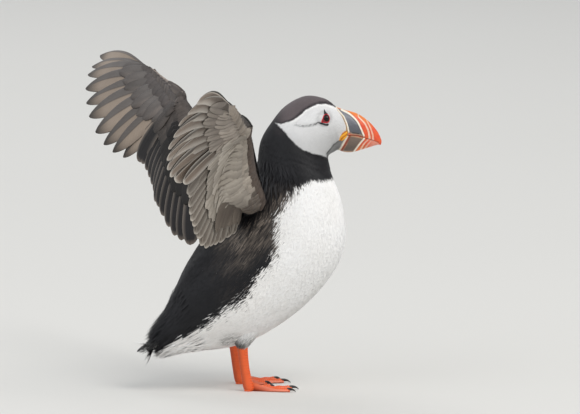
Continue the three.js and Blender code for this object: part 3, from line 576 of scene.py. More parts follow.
class WingSurface:
    """Both faces of one wing. A place is (a, d): a counts feathers from 0 at the innermost tertial, and d is
    millimetres behind the flesh's trailing edge, negative on the flesh itself."""

    def __init__(self, key):
        self.rows = wing_rows(key)
        self.outward = SIDES[key]

    def found(self, a):
        """Leading edge, trailing edge, feather tip and half thickness."""
        rows = spline(self.rows, np.asarray(a, float) + BEYOND_SHOULDER + 1)
        return rows[..., :3], rows[..., 3:6], rows[..., 6:9], rows[..., 9]

    def lengths(self, a):
        """Length of the flight feather and of the flesh's chord at each place."""
        lead, trail, tip, _ = self.found(a)
        return np.linalg.norm(tip - trail, axis=-1), np.linalg.norm(trail - lead, axis=-1)

    def middle(self, a, d):
        """Middle surface: straight over the flesh's chord and straight on to the feather's tip; with how far
        the flesh swells to each side of it, as an ellipse, and the flight feathers' slight bulge."""
        lead, trail, tip, thick = self.found(a)
        length, chord = self.lengths(a)
        c = np.clip(1 + d / chord, 0, 1)
        q = np.clip(d / length, 0, 1.2)
        base = np.where((d < 0)[..., None], lead + (trail - lead) * c[..., None],
                        trail + (tip - trail) * q[..., None])
        swell = np.where(d < 0, thick * np.sqrt(np.clip(1 - (1 - 2 * c) ** 2, 0, 1)), 0)
        return base, swell, np.where(d > 0, 0.05 * length * 4 * q * (1 - np.minimum(q, 1)), 0)

    def upper(self, a, d):
        """The way up from the wing, read at least 2 mm behind the flesh's leading edge."""
        d = np.maximum(d, 2 - self.lengths(a)[1])
        across = self.middle(a + 0.3, d)[0] - self.middle(a - 0.3, d)[0]
        back = self.middle(a, d + 1.5)[0] - self.middle(a, d - 1.5)[0]
        return unit(np.cross(across, back)) * self.outward

    def place(self, a, d, face, height):
        """A point height out from the upper face (1) or the under face (-1)."""
        a, d, height = np.broadcast_arrays(np.asarray(a, float), np.asarray(d, float), height)
        base, swell, bulge = self.middle(a, d)
        return base + self.upper(a, d) * (bulge + face * (swell + height))[..., None]

    def section(self, a, psi, height):
        """The flesh as an ellipse round its chord: psi is 0 at the trailing edge, pi at the leading one."""
        a, psi, height = np.broadcast_arrays(np.asarray(a, float), psi, height)
        lead, trail, _, thick = self.found(a)
        half = (trail - lead) / 2
        chord = np.linalg.norm(half, axis=-1)
        reach = np.cos(psi) * (1 + height / chord)
        rise = np.sin(psi) * np.maximum(thick + height, 0.3)
        return (lead + trail) / 2 + half * reach[..., None] + self.upper(a, -chord) * rise[..., None]


def tail_place(a, d, face, height):
    """The tail fan as place(a, d, face, height): a counts its feathers from the right, d is from its root."""
    a, d, height = np.broadcast_arrays(np.asarray(a, float), np.asarray(d, float), height)
    q = (a - (TAIL_FEATHERS - 1) / 2) / (TAIL_FEATHERS / 2)
    t = d / TAIL_LENGTH
    x = TAIL_ROOT[0] - math.cos(TAIL_DROOP) * d - math.sin(TAIL_DROOP) * height * face
    z = TAIL_ROOT[1] - math.sin(TAIL_DROOP) * d - 5 * q * q * t + math.cos(TAIL_DROOP) * height * face
    return np.stack([x, q * mix(8.5, 17, np.clip(t, 0, 1.2) ** 0.8), z], -1)


# ------------------------------------------------------------------ tufts and vanes

def strewn(surface, low, high, density, seed):
    """Places (u, v) spread evenly by area over a surface, density(u, v) of them to a square millimetre."""
    nu, nv = 160, 96
    u = np.linspace(low[0], high[0], nu)
    v = np.linspace(low[1], high[1], nv)
    grid_u, grid_v = np.meshgrid(u, v, indexing="ij")
    flat = surface(grid_u, grid_v, np.zeros(grid_u.shape))
    along_u = np.gradient(flat, u, axis=0)
    along_v = np.gradient(flat, v, axis=1)
    weight = np.linalg.norm(np.cross(along_u, along_v), axis=-1) * density(grid_u, grid_v)
    cell = (u[1] - u[0]) * (v[1] - v[0])
    count = int(weight.sum() * cell)
    pairs = even_pairs(count, seed)
    by_row = np.concatenate([[0], np.cumsum((weight.sum(1)[1:] + weight.sum(1)[:-1]) / 2)])
    place = np.interp(pairs[:, 0], by_row / by_row[-1], np.arange(nu))
    by_column = np.cumsum((weight[:, 1:] + weight[:, :-1]) / 2 + 1e-9, 1)
    by_column = np.concatenate([np.zeros((nu, 1)), by_column], 1)
    by_column /= by_column[:, -1:]
    table = by_column[np.round(place).astype(int)]
    over = (table < pairs[:, 1:]).sum(1).clip(1, nv - 1)
    left = np.take_along_axis(table, over[:, None] - 1, 1)[:, 0]
    right = np.take_along_axis(table, over[:, None], 1)[:, 0]
    column = over - 1 + (pairs[:, 1] - left) / np.maximum(right - left, 1e-9)
    return np.interp(place, np.arange(nu), u), np.interp(column, np.arange(nv), v)


def tufts(surface, u, v, flow, length, width, low, high, lean):
    """Three-sided spindles over a surface: each runs length from its root along flow, leaning sideways,
    and rises from height low to height high. Returns their rings and tips."""
    step = 1e-3
    here = surface(u, v, low)
    speed_u = np.linalg.norm(surface(u + flow * step, v, low) - here, axis=-1) / step
    speed_v = np.linalg.norm(surface(u, v + step, low) - here, axis=-1) / step
    du = flow * np.minimum(length / np.maximum(speed_u, 1e-3), 2.5)
    dv = np.clip(lean * length / np.maximum(speed_v, 1e-3), -0.6, 0.6)
    middles = [surface(u + du * r, v + dv * r, mix(low, high, r ** 0.7)) for r in (0.0, 0.5, 1.0)]
    return spindles(middles, surface(u + du * 0.5, v + dv * 0.5, mix(low, high, 0.5) + 1) - middles[1], width)


def spindles(middles, out, width):
    """Three-sided spindles through a root, a middle and a tip, flat side down, facing out."""
    run = unit(middles[2] - middles[0])
    side = unit(np.cross(out, run))
    out = np.cross(run, side)
    rings = []
    for middle, share in ((middles[0], 0.6), (middles[1], 1.0)):
        wide = side * (width * 0.5 * share)[:, None]
        tall = out * (width * 0.12 * share)[:, None]
        rings.append(np.stack([middle + wide, middle + tall, middle - wide], 1))
    return np.stack(rings, 1), middles[2], out


MOST_TUFTS = 17000  # to a piece, at ten triangles each
PATCH = 0.0015  # half the width of a tuft's patch on the bake map


def lay_coat(name, found, colours, map_u, map_v, slot_name):
    """Splits tufts into pieces, in order of map_v, with their colours and bake map. Their shading normals
    lean most of the way to the coat's own, so that the locks read as one soft surface."""
    rings, tips, out = found
    order = np.argsort(map_v, kind="stable")
    across = np.array([1.0, 0.0, -1.0]) * PATCH
    for number, part in enumerate(np.array_split(order, 1 + len(order) // MOST_TUFTS)):
        points = tube_points(rings[part], tips[part])
        root, tip = colours[part], np.clip(colours[part] * 1.06, 0, 1)
        shades = tube_points(np.broadcast_to(root[:, None, None], (len(part), 2, 3, 3)), tip)
        centre = np.stack([map_u[part], map_v[part]], -1)
        patch = np.zeros((len(part), 2, 3, 2)) + centre[:, None, None]
        patch[..., 0] += across
        patch[:, 1, :, 1] += 0.0008
        patch[:, 0, :, 1] -= PATCH
        bake = tube_points(patch, centre + [0, PATCH])
        faces = outward(points, tube_faces(len(part), 2, 3))
        piece = new_piece(f"{name}_{number + 1}", points, faces, shades, slot_name,
                          material=shared(down_finish), maps={"OFBake": bake})
        wide = rings[part][:, :1, :1] - rings[part][:, :1, 2:]
        fan = np.array([0.22, 0.0, -0.22])[None, None, :, None] * unit(wide)
        soft = unit(np.broadcast_to(out[part][:, None, None], (len(part), 2, 3, 3)) + fan)
        piece.data.normals_split_custom_set_from_vertices(tube_points(soft, out[part]).tolist())


# Places across a vane, from its inner edge at -1 to its outer edge at 1
COVERT_COLUMNS = np.array([-1, -0.85, -0.4, 0, 0.4, 0.85, 1])
FLIGHT_COLUMNS = np.array([-1, -0.9, -0.5, -0.09, 0, 0.09, 0.5, 0.9, 1])


def vane_rows(count):
    """Places along a vane, closer together toward the tip."""
    t = np.linspace(0, 1, count)
    return 1 - (1 - t) ** 1.5


def vanes(place, a, start, end, face, half, low, high, columns, rows, outer_share=1.0, tip_power=2.0,
          tip_sharp=0.5, tip_from=0.55, skew=0.0, tilt=0.07, curve=0.0, camber=0.06, thick=0.22, shaft=0.3,
          root_share=0.45):
    """Closed thin feathers on place(a, d, face, height), one for each entry of a, start and end.

    The shaft runs from d = start to d = end. At t along it and x across, from -1 at the inner edge to 1 at
    the outer, the vane reaches half * x * outline(t) to the side. The outline swells from root_share to 1
    and then closes as (1 - q^tip_power)^tip_sharp over its last part. The vane is tilted so that its outer
    edge is uppermost, cambered by 1 - x^2, and thickest at the shaft."""
    t = vane_rows(rows)
    n = len(a)
    a, start, end, half, high, skew, tilt, curve, outer_share = (
        np.broadcast_to(np.asarray(k, float), n)[:, None]
        for k in (a, start, end, half, high, skew, tilt, curve, outer_share))
    d = start + (end - start) * t
    at = a + skew * t
    height = low + (high - low) * ease(0, 0.5, t)
    chain = place(at, d, face, height)
    dorsal = (place(at, d, face, height + 1) - chain) * face
    over = place(at + 0.05, d, face, height) - chain
    back = place(at, d + 0.5, face, height) - chain
    turn = np.sign((np.cross(back, dorsal) * over).sum())
    run = unit(np.gradient(chain, axis=1))
    spread = unit(np.cross(run, dorsal)) * turn
    chain = chain + spread * (curve * (end - start) * 4 * t * (1 - t))[..., None]
    run = unit(np.gradient(chain, axis=1))
    spread = unit(np.cross(run, dorsal)) * turn
    above = unit(dorsal - run * (dorsal * run).sum(-1, keepdims=True))
    tip = chain[:, -1]
    centre, spread, above, t = chain[:, :-1], spread[:, :-1], above[:, :-1], t[:-1]
    close = np.clip((t - tip_from) / (1 - tip_from), 0, 1)
    outline = (root_share + (1 - root_share) * ease(0, 0.45, t)) * (1 - close ** tip_power) ** tip_sharp
    x = columns[None, None, :]
    share = np.where(columns > 0, outer_share, 2 - outer_share)[:, None, :]
    wide = half[..., None] * outline[None, :, None]
    across = x * share * wide
    lift = across * tilt[..., None] + camber * face * wide * (1 - x ** 2)
    flat = centre[:, :, None] + spread[:, :, None] * across[..., None] + above[:, :, None] * lift[..., None]
    body = thick * (1 - x ** 2) ** 0.5 * (0.35 + 0.65 * (1 - t))[None, :, None]
    ridge = shaft * (columns == 0)[None, None, :] * (1 - 0.85 * t)[None, :, None]
    wall = above[:, :, None] * (body + ridge)[..., None]
    rings = np.concatenate([flat + wall, (flat - wall)[:, :, -2:0:-1]], 2)
    return {"rings": rings, "tips": tip, "t": t, "columns": columns,
            "across": np.broadcast_to(across, (n, len(t), len(columns))), "along": (end - start) * t}


def tones(outer, inner, end, end_from, rim, rim_share, shaft=None):
    """One face of a feather: outer and inner vane, the end's colour from end_from on, rim and shaft."""
    return outer, inner, end, end_from, rim, rim_share, outer if shaft is None else shaft


def shade_vanes(found, upper, under, rng, vary=0.07, root_shade=0.0, shade_end=0.5):
    """Colours of a row of vanes, above and below, from their tones, with a little difference from feather to
    feather and a painted shade, where each vane runs in under the feathers over it, that grows from none at
    shade_end to root_shade at the root."""
    t, x = found["t"][None, :, None, None], found["columns"][None, None, :, None]
    each = 1 + rng.normal(0, vary, (len(found["tips"]), 1, 1, 1))
    painted = []
    for outer, inner, end, end_from, rim, rim_share, shaft in (upper, under):
        # painted shade: darker toward the root, where the vane lies under the feathers over it
        tone = mix(inner, outer, ease(-0.12, 0.12, x)) * (1 - root_shade * ease(shade_end, 0.0, t))
        tone = mix(tone, end, ease(end_from, 1.0, t))
        tone = mix(tone, rim, rim_share * ease(0.8, 1.0, np.abs(x)) * ease(0.1, 0.5, t))
        tone = mix(tone, shaft, (np.abs(x) < 0.05) * 0.85)
        tip = mix(end, rim, rim_share) * each[:, 0, 0]
        painted.append((np.clip(tone * each, 0, 1), np.clip(tip, 0, 1)))
    return painted


def lay_vanes(name, groups, slot_name, replaces=()):
    """Joins rows of vanes into one piece, with colours and a bake cell for each face of each vane, and a map
    of the distance across and along it in hundredths."""
    points, faces, tops, uppers, unders, spans, cells = [], [], [], [], [], [], []
    start, number = 0, 0
    total = sum(len(found["tips"]) for found, _ in groups)
    side = math.ceil(math.sqrt(total * 2))
    for found, painted in groups:
        rings, tips, columns = found["rings"], found["tips"], found["columns"]
        n, rows, ring = rings.shape[:3]
        k = len(columns)
        crease_shade = np.concatenate([np.arange(k), np.arange(k - 2, 0, -1)])
        points.append(tube_points(rings, tips))
        parts = outward(points[-1], tube_faces(n, rows, ring))
        upward = np.arange(ring) < k - 1
        upper_side = np.tile(upward, n * (rows - 1)), np.tile(upward, n), np.ones(n, bool)
        for part, flags in zip(parts, upper_side):
            faces.append(part + start)
            tops.append(np.repeat(flags, part.shape[1]))
        for (tone, tip_tone), store in zip(painted, (uppers, unders)):
            store.append(tube_points(np.broadcast_to(tone, (n, rows, k, 3))[:, :, crease_shade], tip_tone))
        across = found["across"][:, :, crease_shade]
        run = np.broadcast_to(found["along"][:, :, None], across.shape)
        end = np.stack([np.zeros(n), found["along"][:, -1]], -1)
        spans.append(tube_points(np.stack([across, run], -1), end) * 0.01)
        cell = np.stack([np.broadcast_to((columns[crease_shade] + 1) / 2, (n, rows, ring)),
                         np.broadcast_to(found["t"][None, :, None], (n, rows, ring))], -1)
        local = tube_points(cell, np.tile([0.5, 1.0], (n, 1))) * 0.9 + 0.05
        each = np.repeat(number + np.arange(n), rows * ring + 1)
        cells.append(np.concatenate([local, each[:, None]], 1))
        start += len(points[-1])
        number += n
    corners = np.concatenate([part.ravel() for part in faces])
    on_top = np.concatenate(tops)
    cell = np.concatenate(cells)[corners]
    index = cell[:, 2] * 2 + np.where(on_top, 0, 1)
    maps = {"vane": np.concatenate(spans),
            "OFBake": (cell[:, :2] + np.stack([index % side, index // side], -1)) / side}
    shades = np.where(on_top[:, None], np.concatenate(uppers)[corners], np.concatenate(unders)[corners])
    new_piece(name, np.concatenate(points), faces, shades, slot_name, replaces, shared(vane_finish), maps)


# ------------------------------------------------------------------ materials

class Wire:
    """One output of a shader node; sums and products of wires add the Math nodes that work them out."""

    def __init__(self, graph, socket):
        self.graph = graph
        self.socket = socket

    def math(self, operation, first, second=None):
        return self.graph.node("ShaderNodeMath", {"operation": operation}, {0: first, 1: second})

    def __add__(self, other):
        return self.math("ADD", self, other)

    def __radd__(self, other):
        return self.math("ADD", other, self)

    def __sub__(self, other):
        return self.math("SUBTRACT", self, other)

    def __rsub__(self, other):
        return self.math("SUBTRACT", other, self)

    def __mul__(self, other):
        return self.math("MULTIPLY", self, other)

    def __rmul__(self, other):
        return self.math("MULTIPLY", other, self)

    def __abs__(self):
        return self.math("ABSOLUTE", self)

    def sine(self):
        return self.math("SINE", self)

    def limited(self, low, high):
        """0 at low, 1 at high and straight between."""
        return self.graph.node("ShaderNodeMapRange", {"clamp": True}, {0: self, 1: low, 2: high})


class Finish:
    """A material with one Principled shader, whose nodes are made through node()."""

    def __init__(self, name, **uniform):
        self.material = bpy.data.materials.new(name)
        self.material.use_nodes = True
        self.tree = self.material.node_tree
        self.tree.nodes.clear()
        self.shader = self.tree.nodes.new("ShaderNodeBsdfPrincipled")
        end = self.tree.nodes.new("ShaderNodeOutputMaterial")
        self.tree.links.new(self.shader.outputs[0], end.inputs[0])
        for socket, value in uniform.items():
            self.shader.inputs[socket.replace("_", " ").title().replace("Ior", "IOR")].default_value = value

    def node(self, kind, settings=None, inputs=None, output=0):
        """A node of any kind: its settings first, then the values or wires of its sockets."""
        made = self.tree.nodes.new(kind)
        for key, value in (settings or {}).items():
            setattr(made, key, value)
        for key, value in (inputs or {}).items():
            if value is None:
                continue
            if isinstance(value, Wire):
                self.tree.links.new(value.socket, made.inputs[key])
            else:
                made.inputs[key].default_value = value
        return Wire(self, made.outputs[output])

    def blend(self, first, second, factor, mode="MIX"):
        """Colours mixed by factor."""
        first, second = (k if isinstance(k, Wire) else (*k, 1.0) for k in (first, second))
        return self.node("ShaderNodeMix", {"data_type": "RGBA", "blend_type": mode},
                         {0: factor, 6: first, 7: second}, 2)

    def darken(self, colour, tint, factor):
        """A colour multiplied toward a tint by factor."""
        return self.blend(colour, tint, factor, "MULTIPLY")

    def noise(self, scale, detail):
        """Noise of the object's own place, scale bumps to the metre."""
        place = self.node("ShaderNodeTexCoord", output="Object")
        return self.node("ShaderNodeTexNoise", {}, {"Vector": place, "Scale": scale, "Detail": detail})

    def painted(self):
        """The colour painted on the mesh."""
        return self.node("ShaderNodeAttribute", {"attribute_name": "plumage"})

    def feed(self, socket, wire):
        self.tree.links.new(wire.socket, self.shader.inputs[socket])

    def bump(self, height, strength, distance):
        self.feed("Normal", self.node("ShaderNodeBump", {}, {
            "Height": height, "Strength": strength, "Distance": distance}, "Normal"))


FINISHES = {}


def shared(make):
    """The material that make() returns, made once."""
    if make.__name__ not in FINISHES:
        FINISHES[make.__name__] = make()
    return FINISHES[make.__name__]


def down_finish():
    """Small body feathers: the painted colour with fine light and dark locks and a soft dull sheen."""
    finish = Finish("body_down", sheen_weight=0.12, sheen_roughness=0.4, specular_ior_level=0.3)
    colour = finish.painted()
    locks = finish.noise(900, 2.0)
    clumps = finish.noise(140, 3.0)
    tone = finish.darken(colour, (0.8, 0.79, 0.78), (locks - 0.35).limited(0, 0.9) * 0.3)
    tone = finish.darken(tone, (0.88, 0.87, 0.86), (clumps - 0.4).limited(0, 0.6) * 0.3)
    finish.feed("Base Color", tone)
    value = finish.node("ShaderNodeRGBToBW", {}, {0: colour})
    finish.feed("Roughness", 0.52 + value.limited(0.0, 0.4) * 0.4)
    return finish.material


def vane_finish():
    """Flight feathers: barbs run out from the shaft at a slant, as fine stripes of colour and relief."""
    finish = Finish("feather_vane", specular_ior_level=0.32, sheen_weight=0.08, sheen_roughness=0.35)
    colour = finish.painted()
    across = finish.node("ShaderNodeSeparateXYZ", {}, {0: finish.node("ShaderNodeUVMap", {"uv_map": "vane"})})
    run = Wire(finish, across.socket.node.outputs[1])
    wander = finish.noise(260, 2.0)
    slant = run * 100 - abs(across * 100) * 1.5 + wander * 1.6
    barbs = (slant * 11.0).sine() * 0.5 + 0.5
    bands = (slant * 1.35).sine() * 0.5 + 0.5
    tone = finish.darken(colour, (0.78, 0.76, 0.74), barbs * 0.35)
    tone = finish.darken(tone, (0.86, 0.85, 0.84), bands * 0.3)
    blotch = finish.noise(75, 3.0)
    tone = finish.darken(tone, (0.8, 0.78, 0.76), (blotch - 0.42).limited(0, 0.4) * 0.4)
    finish.feed("Base Color", tone)
    finish.feed("Roughness", 0.5 + blotch * 0.25)
    finish.bump(barbs, 0.25, 0.0002)
    return finish.material


def painted_finish(name, grain, grain_scale, rough, relief, **uniform):
    """A painted colour attribute broken up by grain of two sizes, with matching relief."""
    finish = Finish(name, **uniform)
    colour = finish.painted()
    fine = finish.noise(grain_scale, 4.0)
    broad = finish.noise(grain_scale * 0.22, 3.0)
    tone = finish.darken(colour, (0.7, 0.68, 0.66), (fine - 0.4).limited(0, 0.5) * grain)
    tone = finish.darken(tone, (0.8, 0.78, 0.76), (broad - 0.4).limited(0, 0.5) * grain)
    finish.feed("Base Color", tone)
    finish.feed("Roughness", rough + fine * 0.2)
    finish.bump(fine, 0.3, relief)
    return finish.material


def bill_horn():
    """Smooth horn of the bill."""
    return painted_finish("bill_horn", 0.35, 900, 0.3, 0.00006, specular_ior_level=0.5, coat_weight=0.12,
                          coat_roughness=0.25)


def soft_skin():
    """Bare skin of rosettes, rim and lids, through which a little light passes."""
    return painted_finish("soft_skin", 0.4, 1300, 0.42, 0.0001, specular_ior_level=0.4,
                          subsurface_weight=0.08, subsurface_scale=0.002)


def leg_skin():
    """Bare scaled skin of legs and webs."""
    return painted_finish("leg_skin", 0.35, 1100, 0.4, 0.0001, specular_ior_level=0.45,
                          subsurface_weight=0.06, subsurface_scale=0.002)


def claw_horn():
    """Dark horn of the claws."""
    return painted_finish("claw_horn", 0.4, 700, 0.28, 0.00005, specular_ior_level=0.5)


def eye_plate_horn():
    """Fine-grained horn of the plates above and below the eye."""
    return painted_finish("eye_plate_horn", 0.4, 1500, 0.45, 0.00006, specular_ior_level=0.4)


def eye_finish():
    """Wet, dark eyeball with faint rays."""
    finish = Finish("eye_ball", roughness=0.06, specular_ior_level=0.32)
    colour = finish.painted()
    rays = finish.noise(2600, 2.0)
    finish.feed("Base Color", finish.darken(colour, (0.6, 0.55, 0.5), rays * 0.5))
    return finish.material


def floor_finish():
    """Plain matt floor with the faintest mottling."""
    finish = Finish("studio_floor", specular_ior_level=0.2, roughness=0.8)
    shade = finish.noise(1.3, 2.0)
    pale = tuple(hue("studio", "floor"))
    finish.feed("Base Color", finish.blend(pale, tuple(k * 0.97 for k in pale), shade))
    return finish.material


# ------------------------------------------------------------------ markings

def body_colours(s, phi, seed, scatter=0.0):
    """Colour of the body at (s, phi): white underside, black back and collar, grey face and brown crown.
    scatter moves the edge of the white by so many degrees, tuft by tuft."""
    point = body_point(s, phi, 0.0)
    u, v, z = in_head(point)
    white, black, crown, face, flank = (
        hue("plumage", name) for name in ("white", "black", "crown", "face", "flank"))
    degrees = np.degrees(np.abs(phi))
    ragged = ripple(point, 9, seed) * 1.6 + ripple(point, 3.1, seed + 1) * 2.2
    edge = flank_edge(s)
    lower = ease(-3, 3, degrees - edge + ragged + scatter * ease(8.8, 7.5, s))[..., None]
    loose = ease(2.6, 5.2, s) * ease(8.6, 7.4, s) * ease(28, 55, degrees) * (0.65 + 0.5 * ripple(point, 9, 5))
    dark = mix(black, flank, np.clip(loose, 0, 1)[..., None] * 0.6)
    # painted light: a warm pinkish tint in the white just below the flank's edge at the rear, for light
    # glowing through the feathers in shade
    shade_glow = ease(30, 0, np.abs(degrees - edge - 10))[..., None] * ease(6, 3, s)[..., None] * 0.25
    colour = mix(dark, mix(white, white * [0.93, 0.87, 0.84], shade_glow), lower)
    folded = point * [1, 0, 1] + [0, 1, 0] * np.abs(point)
    from_leg = np.linalg.norm(folded - [-14, LEG_SPREAD + 6, 43], axis=-1)
    smudge = ease(15, 5, from_leg) * (0.55 + 0.6 * ripple(point, 4, 9)) * ease(5, 2, s)
    colour = colour * (1 - 0.75 * np.clip(smudge, 0, 1))[..., None]

    depth = polygon_depth(FACE_OUTLINE, u, z) + ripple(point, 4.5, seed + 2) * 0.2
    on_face = ease(-0.4, 0.4, depth) * ease(10.3, 10.8, s)
    # painted shade: the cheek darker toward its bottom and its lower rear
    cheek = face * (1 - 0.16 * ease(219, 200, z) - 0.12 * ease(46, 26, u) * ease(214, 205, z))[..., None]
    cheek = mix(cheek, white * 0.98, (bump_at(depth, 0.8, 0.9) * ease(214, 220, z))[..., None] * 0.75)
    # painted shade: a dark line down the crease behind the eye, where skin and feathers fold in
    crease, place = line_distance(EYE_CREASE, u, z)
    crease_shade = np.exp(-(crease / mix(0.85, 0.6, place)) ** 2) * (1 - 0.4 * place)
    cheek = cheek * (1 - 0.97 * crease_shade)[..., None]
    # painted shade: a darker ring round the eye, at the foot of the raised rim
    around_eye = np.hypot(u - EYE_DESIGN[0], z - EYE_DESIGN[2])
    cheek = cheek * (1 - 0.22 * bump_at(around_eye, 5.0, 1.4))[..., None]
    cap = ease(11.0, 12.6, s) * ease(16, 30, u) * ease(206, 216, z)
    top = mix(black, crown, np.clip(cap * (1 - 0.8 * bump_at(depth, -0.9, 1.0)), 0, 1)[..., None])
    colour = np.where((s > 10.0)[..., None], mix(colour, top, ease(10.0, 11.0, s)[..., None]), colour)
    strip = ease(-0.4, 0.5, polygon_depth(STRIP_OUTLINE, u, z))[..., None] * ease(10, 10.8, s)[..., None]
    line = line_distance(STRIP_OUTLINE[1:5], u, z)[0]
    grey = face * 0.36 * (1 - 0.8 * np.exp(-(line / 0.8) ** 2))[..., None]
    colour = mix(colour, grey, strip)
    return np.clip(mix(colour, cheek, on_face[..., None]), 0.001, 1)


def thigh_colours(t, psi):
    """White, with a grey smudge at the bottom where the bare leg begins, weaker in front."""
    white = hue("plumage", "white")
    smudge = ease(0.25, 0.8, t + 0.12 * np.sin(3 * psi + 1)) * mix(1.0, 0.35, ease(0.35, 0.95, np.cos(psi)))
    return mix(white * np.ones((*t.shape, 3)), white * np.array([0.09, 0.085, 0.08]), smudge[..., None] * 0.9)


# ------------------------------------------------------------------ skin

def ring_angles(count):
    """Angles of count equal steps once round, from 0 up to just short of a whole turn."""
    return np.arange(count) / count * 2 * math.pi


def flesh(wing, first, last):
    """The flesh of the wing between two feather places, u from 0 to 1 along it and psi once round it."""
    return lambda u, psi, height: wing.section(mix(first, last, u), psi, height)


class PUFFIN_OT_skin(bpy.types.Operator):
    """One closed skin over body, head, thighs and wing arms, sunk by the depth of the feathers on it"""
    bl_idname = "puffin.skin"
    bl_label = "Skin"

    def execute(self, context):
        s = np.linspace(0.02, 17.6, 190)
        shells = [(body_surface, s, ring_angles(120), -coat_depth(s)[:, None],
                   lambda u, v: body_colours(u, v, 3))]
        for key, side in SIDES.items():
            t = np.linspace(0, 0.97, 26)
            sink = -np.interp(t, [0, 0.6, 1], [2.2, 1.4, 0.6])[:, None]
            shells.append((thigh_surface(side), t, ring_angles(48), sink, thigh_colours))
            dark = hue("wings", "dark")
            for first, last, inset in ((-3.6, 15.4, -0.9), (14.6, 23.4, -0.35)):
                u = np.linspace(0, 1, 60)
                shells.append((flesh(WingSurface(key), first, last), u, ring_angles(40), inset,
                               lambda u, v: np.ones((*u.shape, 3)) * dark * 1.4))
        points, faces, spots, shades, start = [], [], [], [], 0
        for surface, u, v, height, paint_by in shells:
            grid_u, grid_v = np.meshgrid(u, v, indexing="ij")
            rings = surface(grid_u, grid_v, height)
            shell_points, shell_faces = lofted(rings)
            points.append(shell_points)
            faces += [part + start for part in shell_faces]
            spots.append(rings.reshape(-1, 3))
            shades.append(paint_by(grid_u, grid_v).reshape(-1, 3))
            start += len(shell_points)
        rough = new_piece("skin_rough", np.concatenate(points), faces)
        remesh = rough.modifiers.new("closed", "REMESH")
        remesh.mode = "VOXEL"
        remesh.voxel_size = 1.25 * MM
        smooth = rough.modifiers.new("smoothed", "SMOOTH")
        smooth.factor = 0.5
        smooth.iterations = 4
        found = rough.evaluated_get(context.evaluated_depsgraph_get()).to_mesh()
        where = np.empty(len(found.vertices) * 3, np.float32)
        found.vertices.foreach_get("co", where)
        where = where.reshape(-1, 3) / MM - WORLD_SHIFT
        corners = np.empty(len(found.loops), np.int32)
        found.loops.foreach_get("vertex_index", corners)
        quads = corners.reshape(-1, 4)
        bpy.data.objects.remove(rough)
        colours = np.concatenate(shades)[nearest(where, np.concatenate(spots))]
        nodes = ["trunk", "neck", "head"] + [f"{part}_{key}" for key in SIDES
                                             for part in ("thigh", "wing_arm", "wing_hand")]
        new_piece("skin", where, [quads], colours, "body_feathers", nodes, shared(down_finish))
        return {"FINISHED"}


# ------------------------------------------------------------------ coat of small feathers

def bill_base_u(z):
    """Where the feathering ends against the bill, by height."""
    return np.interp(z, BILL_BASE[:, 0], BILL_BASE[:, 1])


def kept_on_body(s, phi):
    """False where a bare piece stands: eye, rosette, bill, the tail's root and the wing roots."""
    u, v, z = in_head(body_point(s, phi, 0.0))
    near_eye = (np.hypot((u - 59.0) * 1.25, (z - 219.9) * 0.85) < 3.6) & (np.abs(v) > 8)
    on_rosette = np.hypot(u - ROSETTE_AT[0], z - ROSETTE_AT[2]) < 2.4
    return ~(near_eye | (on_rosette & (np.abs(v) > 5)) | ((u > bill_base_u(z) + 0.9) & (s > 12)))


def flank_edge(s):
    """Degrees round from the back at which the white underside begins."""
    return np.interp(s, FLANK_EDGE[:, 0], FLANK_EDGE[:, 1])


def under_edge(s, phi):
    """How far a place lies within the white underside, 0 to 1."""
    return ease(-3, 6, np.degrees(np.abs(phi)) - flank_edge(s))


def head_share(s):
    """How far the feathers have gone over from the body's to the head's, 0 to 1."""
    return ease(8.6, 12.5, s)


def tuft_length(s, u, v, z):
    """Longest on flank and rump, shortest round the bill and along the edges of the face's markings."""
    body = size("plumage", "body_tuft") * np.interp(
        s, [0, 0.7, 2, 5, 7.5, 8.6, 9.6], [2.0, 1.6, 1.3, 1.1, 1.0, 0.6, 0.55])
    face = size("plumage", "face_tuft") * np.interp(u, [15, 35, 55, 68, 75], [2.1, 1.6, 1.25, 1.0, 0.85])
    edge = np.abs(polygon_depth(FACE_OUTLINE, u, z))
    crease = line_distance(EYE_CREASE, u, z)[0]
    near_mark = np.minimum(ease(0, 4, edge), ease(0, 2.5, crease))
    return mix(body, face, head_share(s)) * np.where(s > 10, mix(0.5, 1.0, near_mark), 1.0)


def body_map(s, phi):
    """Place of (s, phi) on the bake map: the way round the body across it, and the way along it up it."""
    return phi / (2 * math.pi) * 0.98 + 0.5, s / 18 * 0.98 + 0.01


def thinning():
    return 1.0


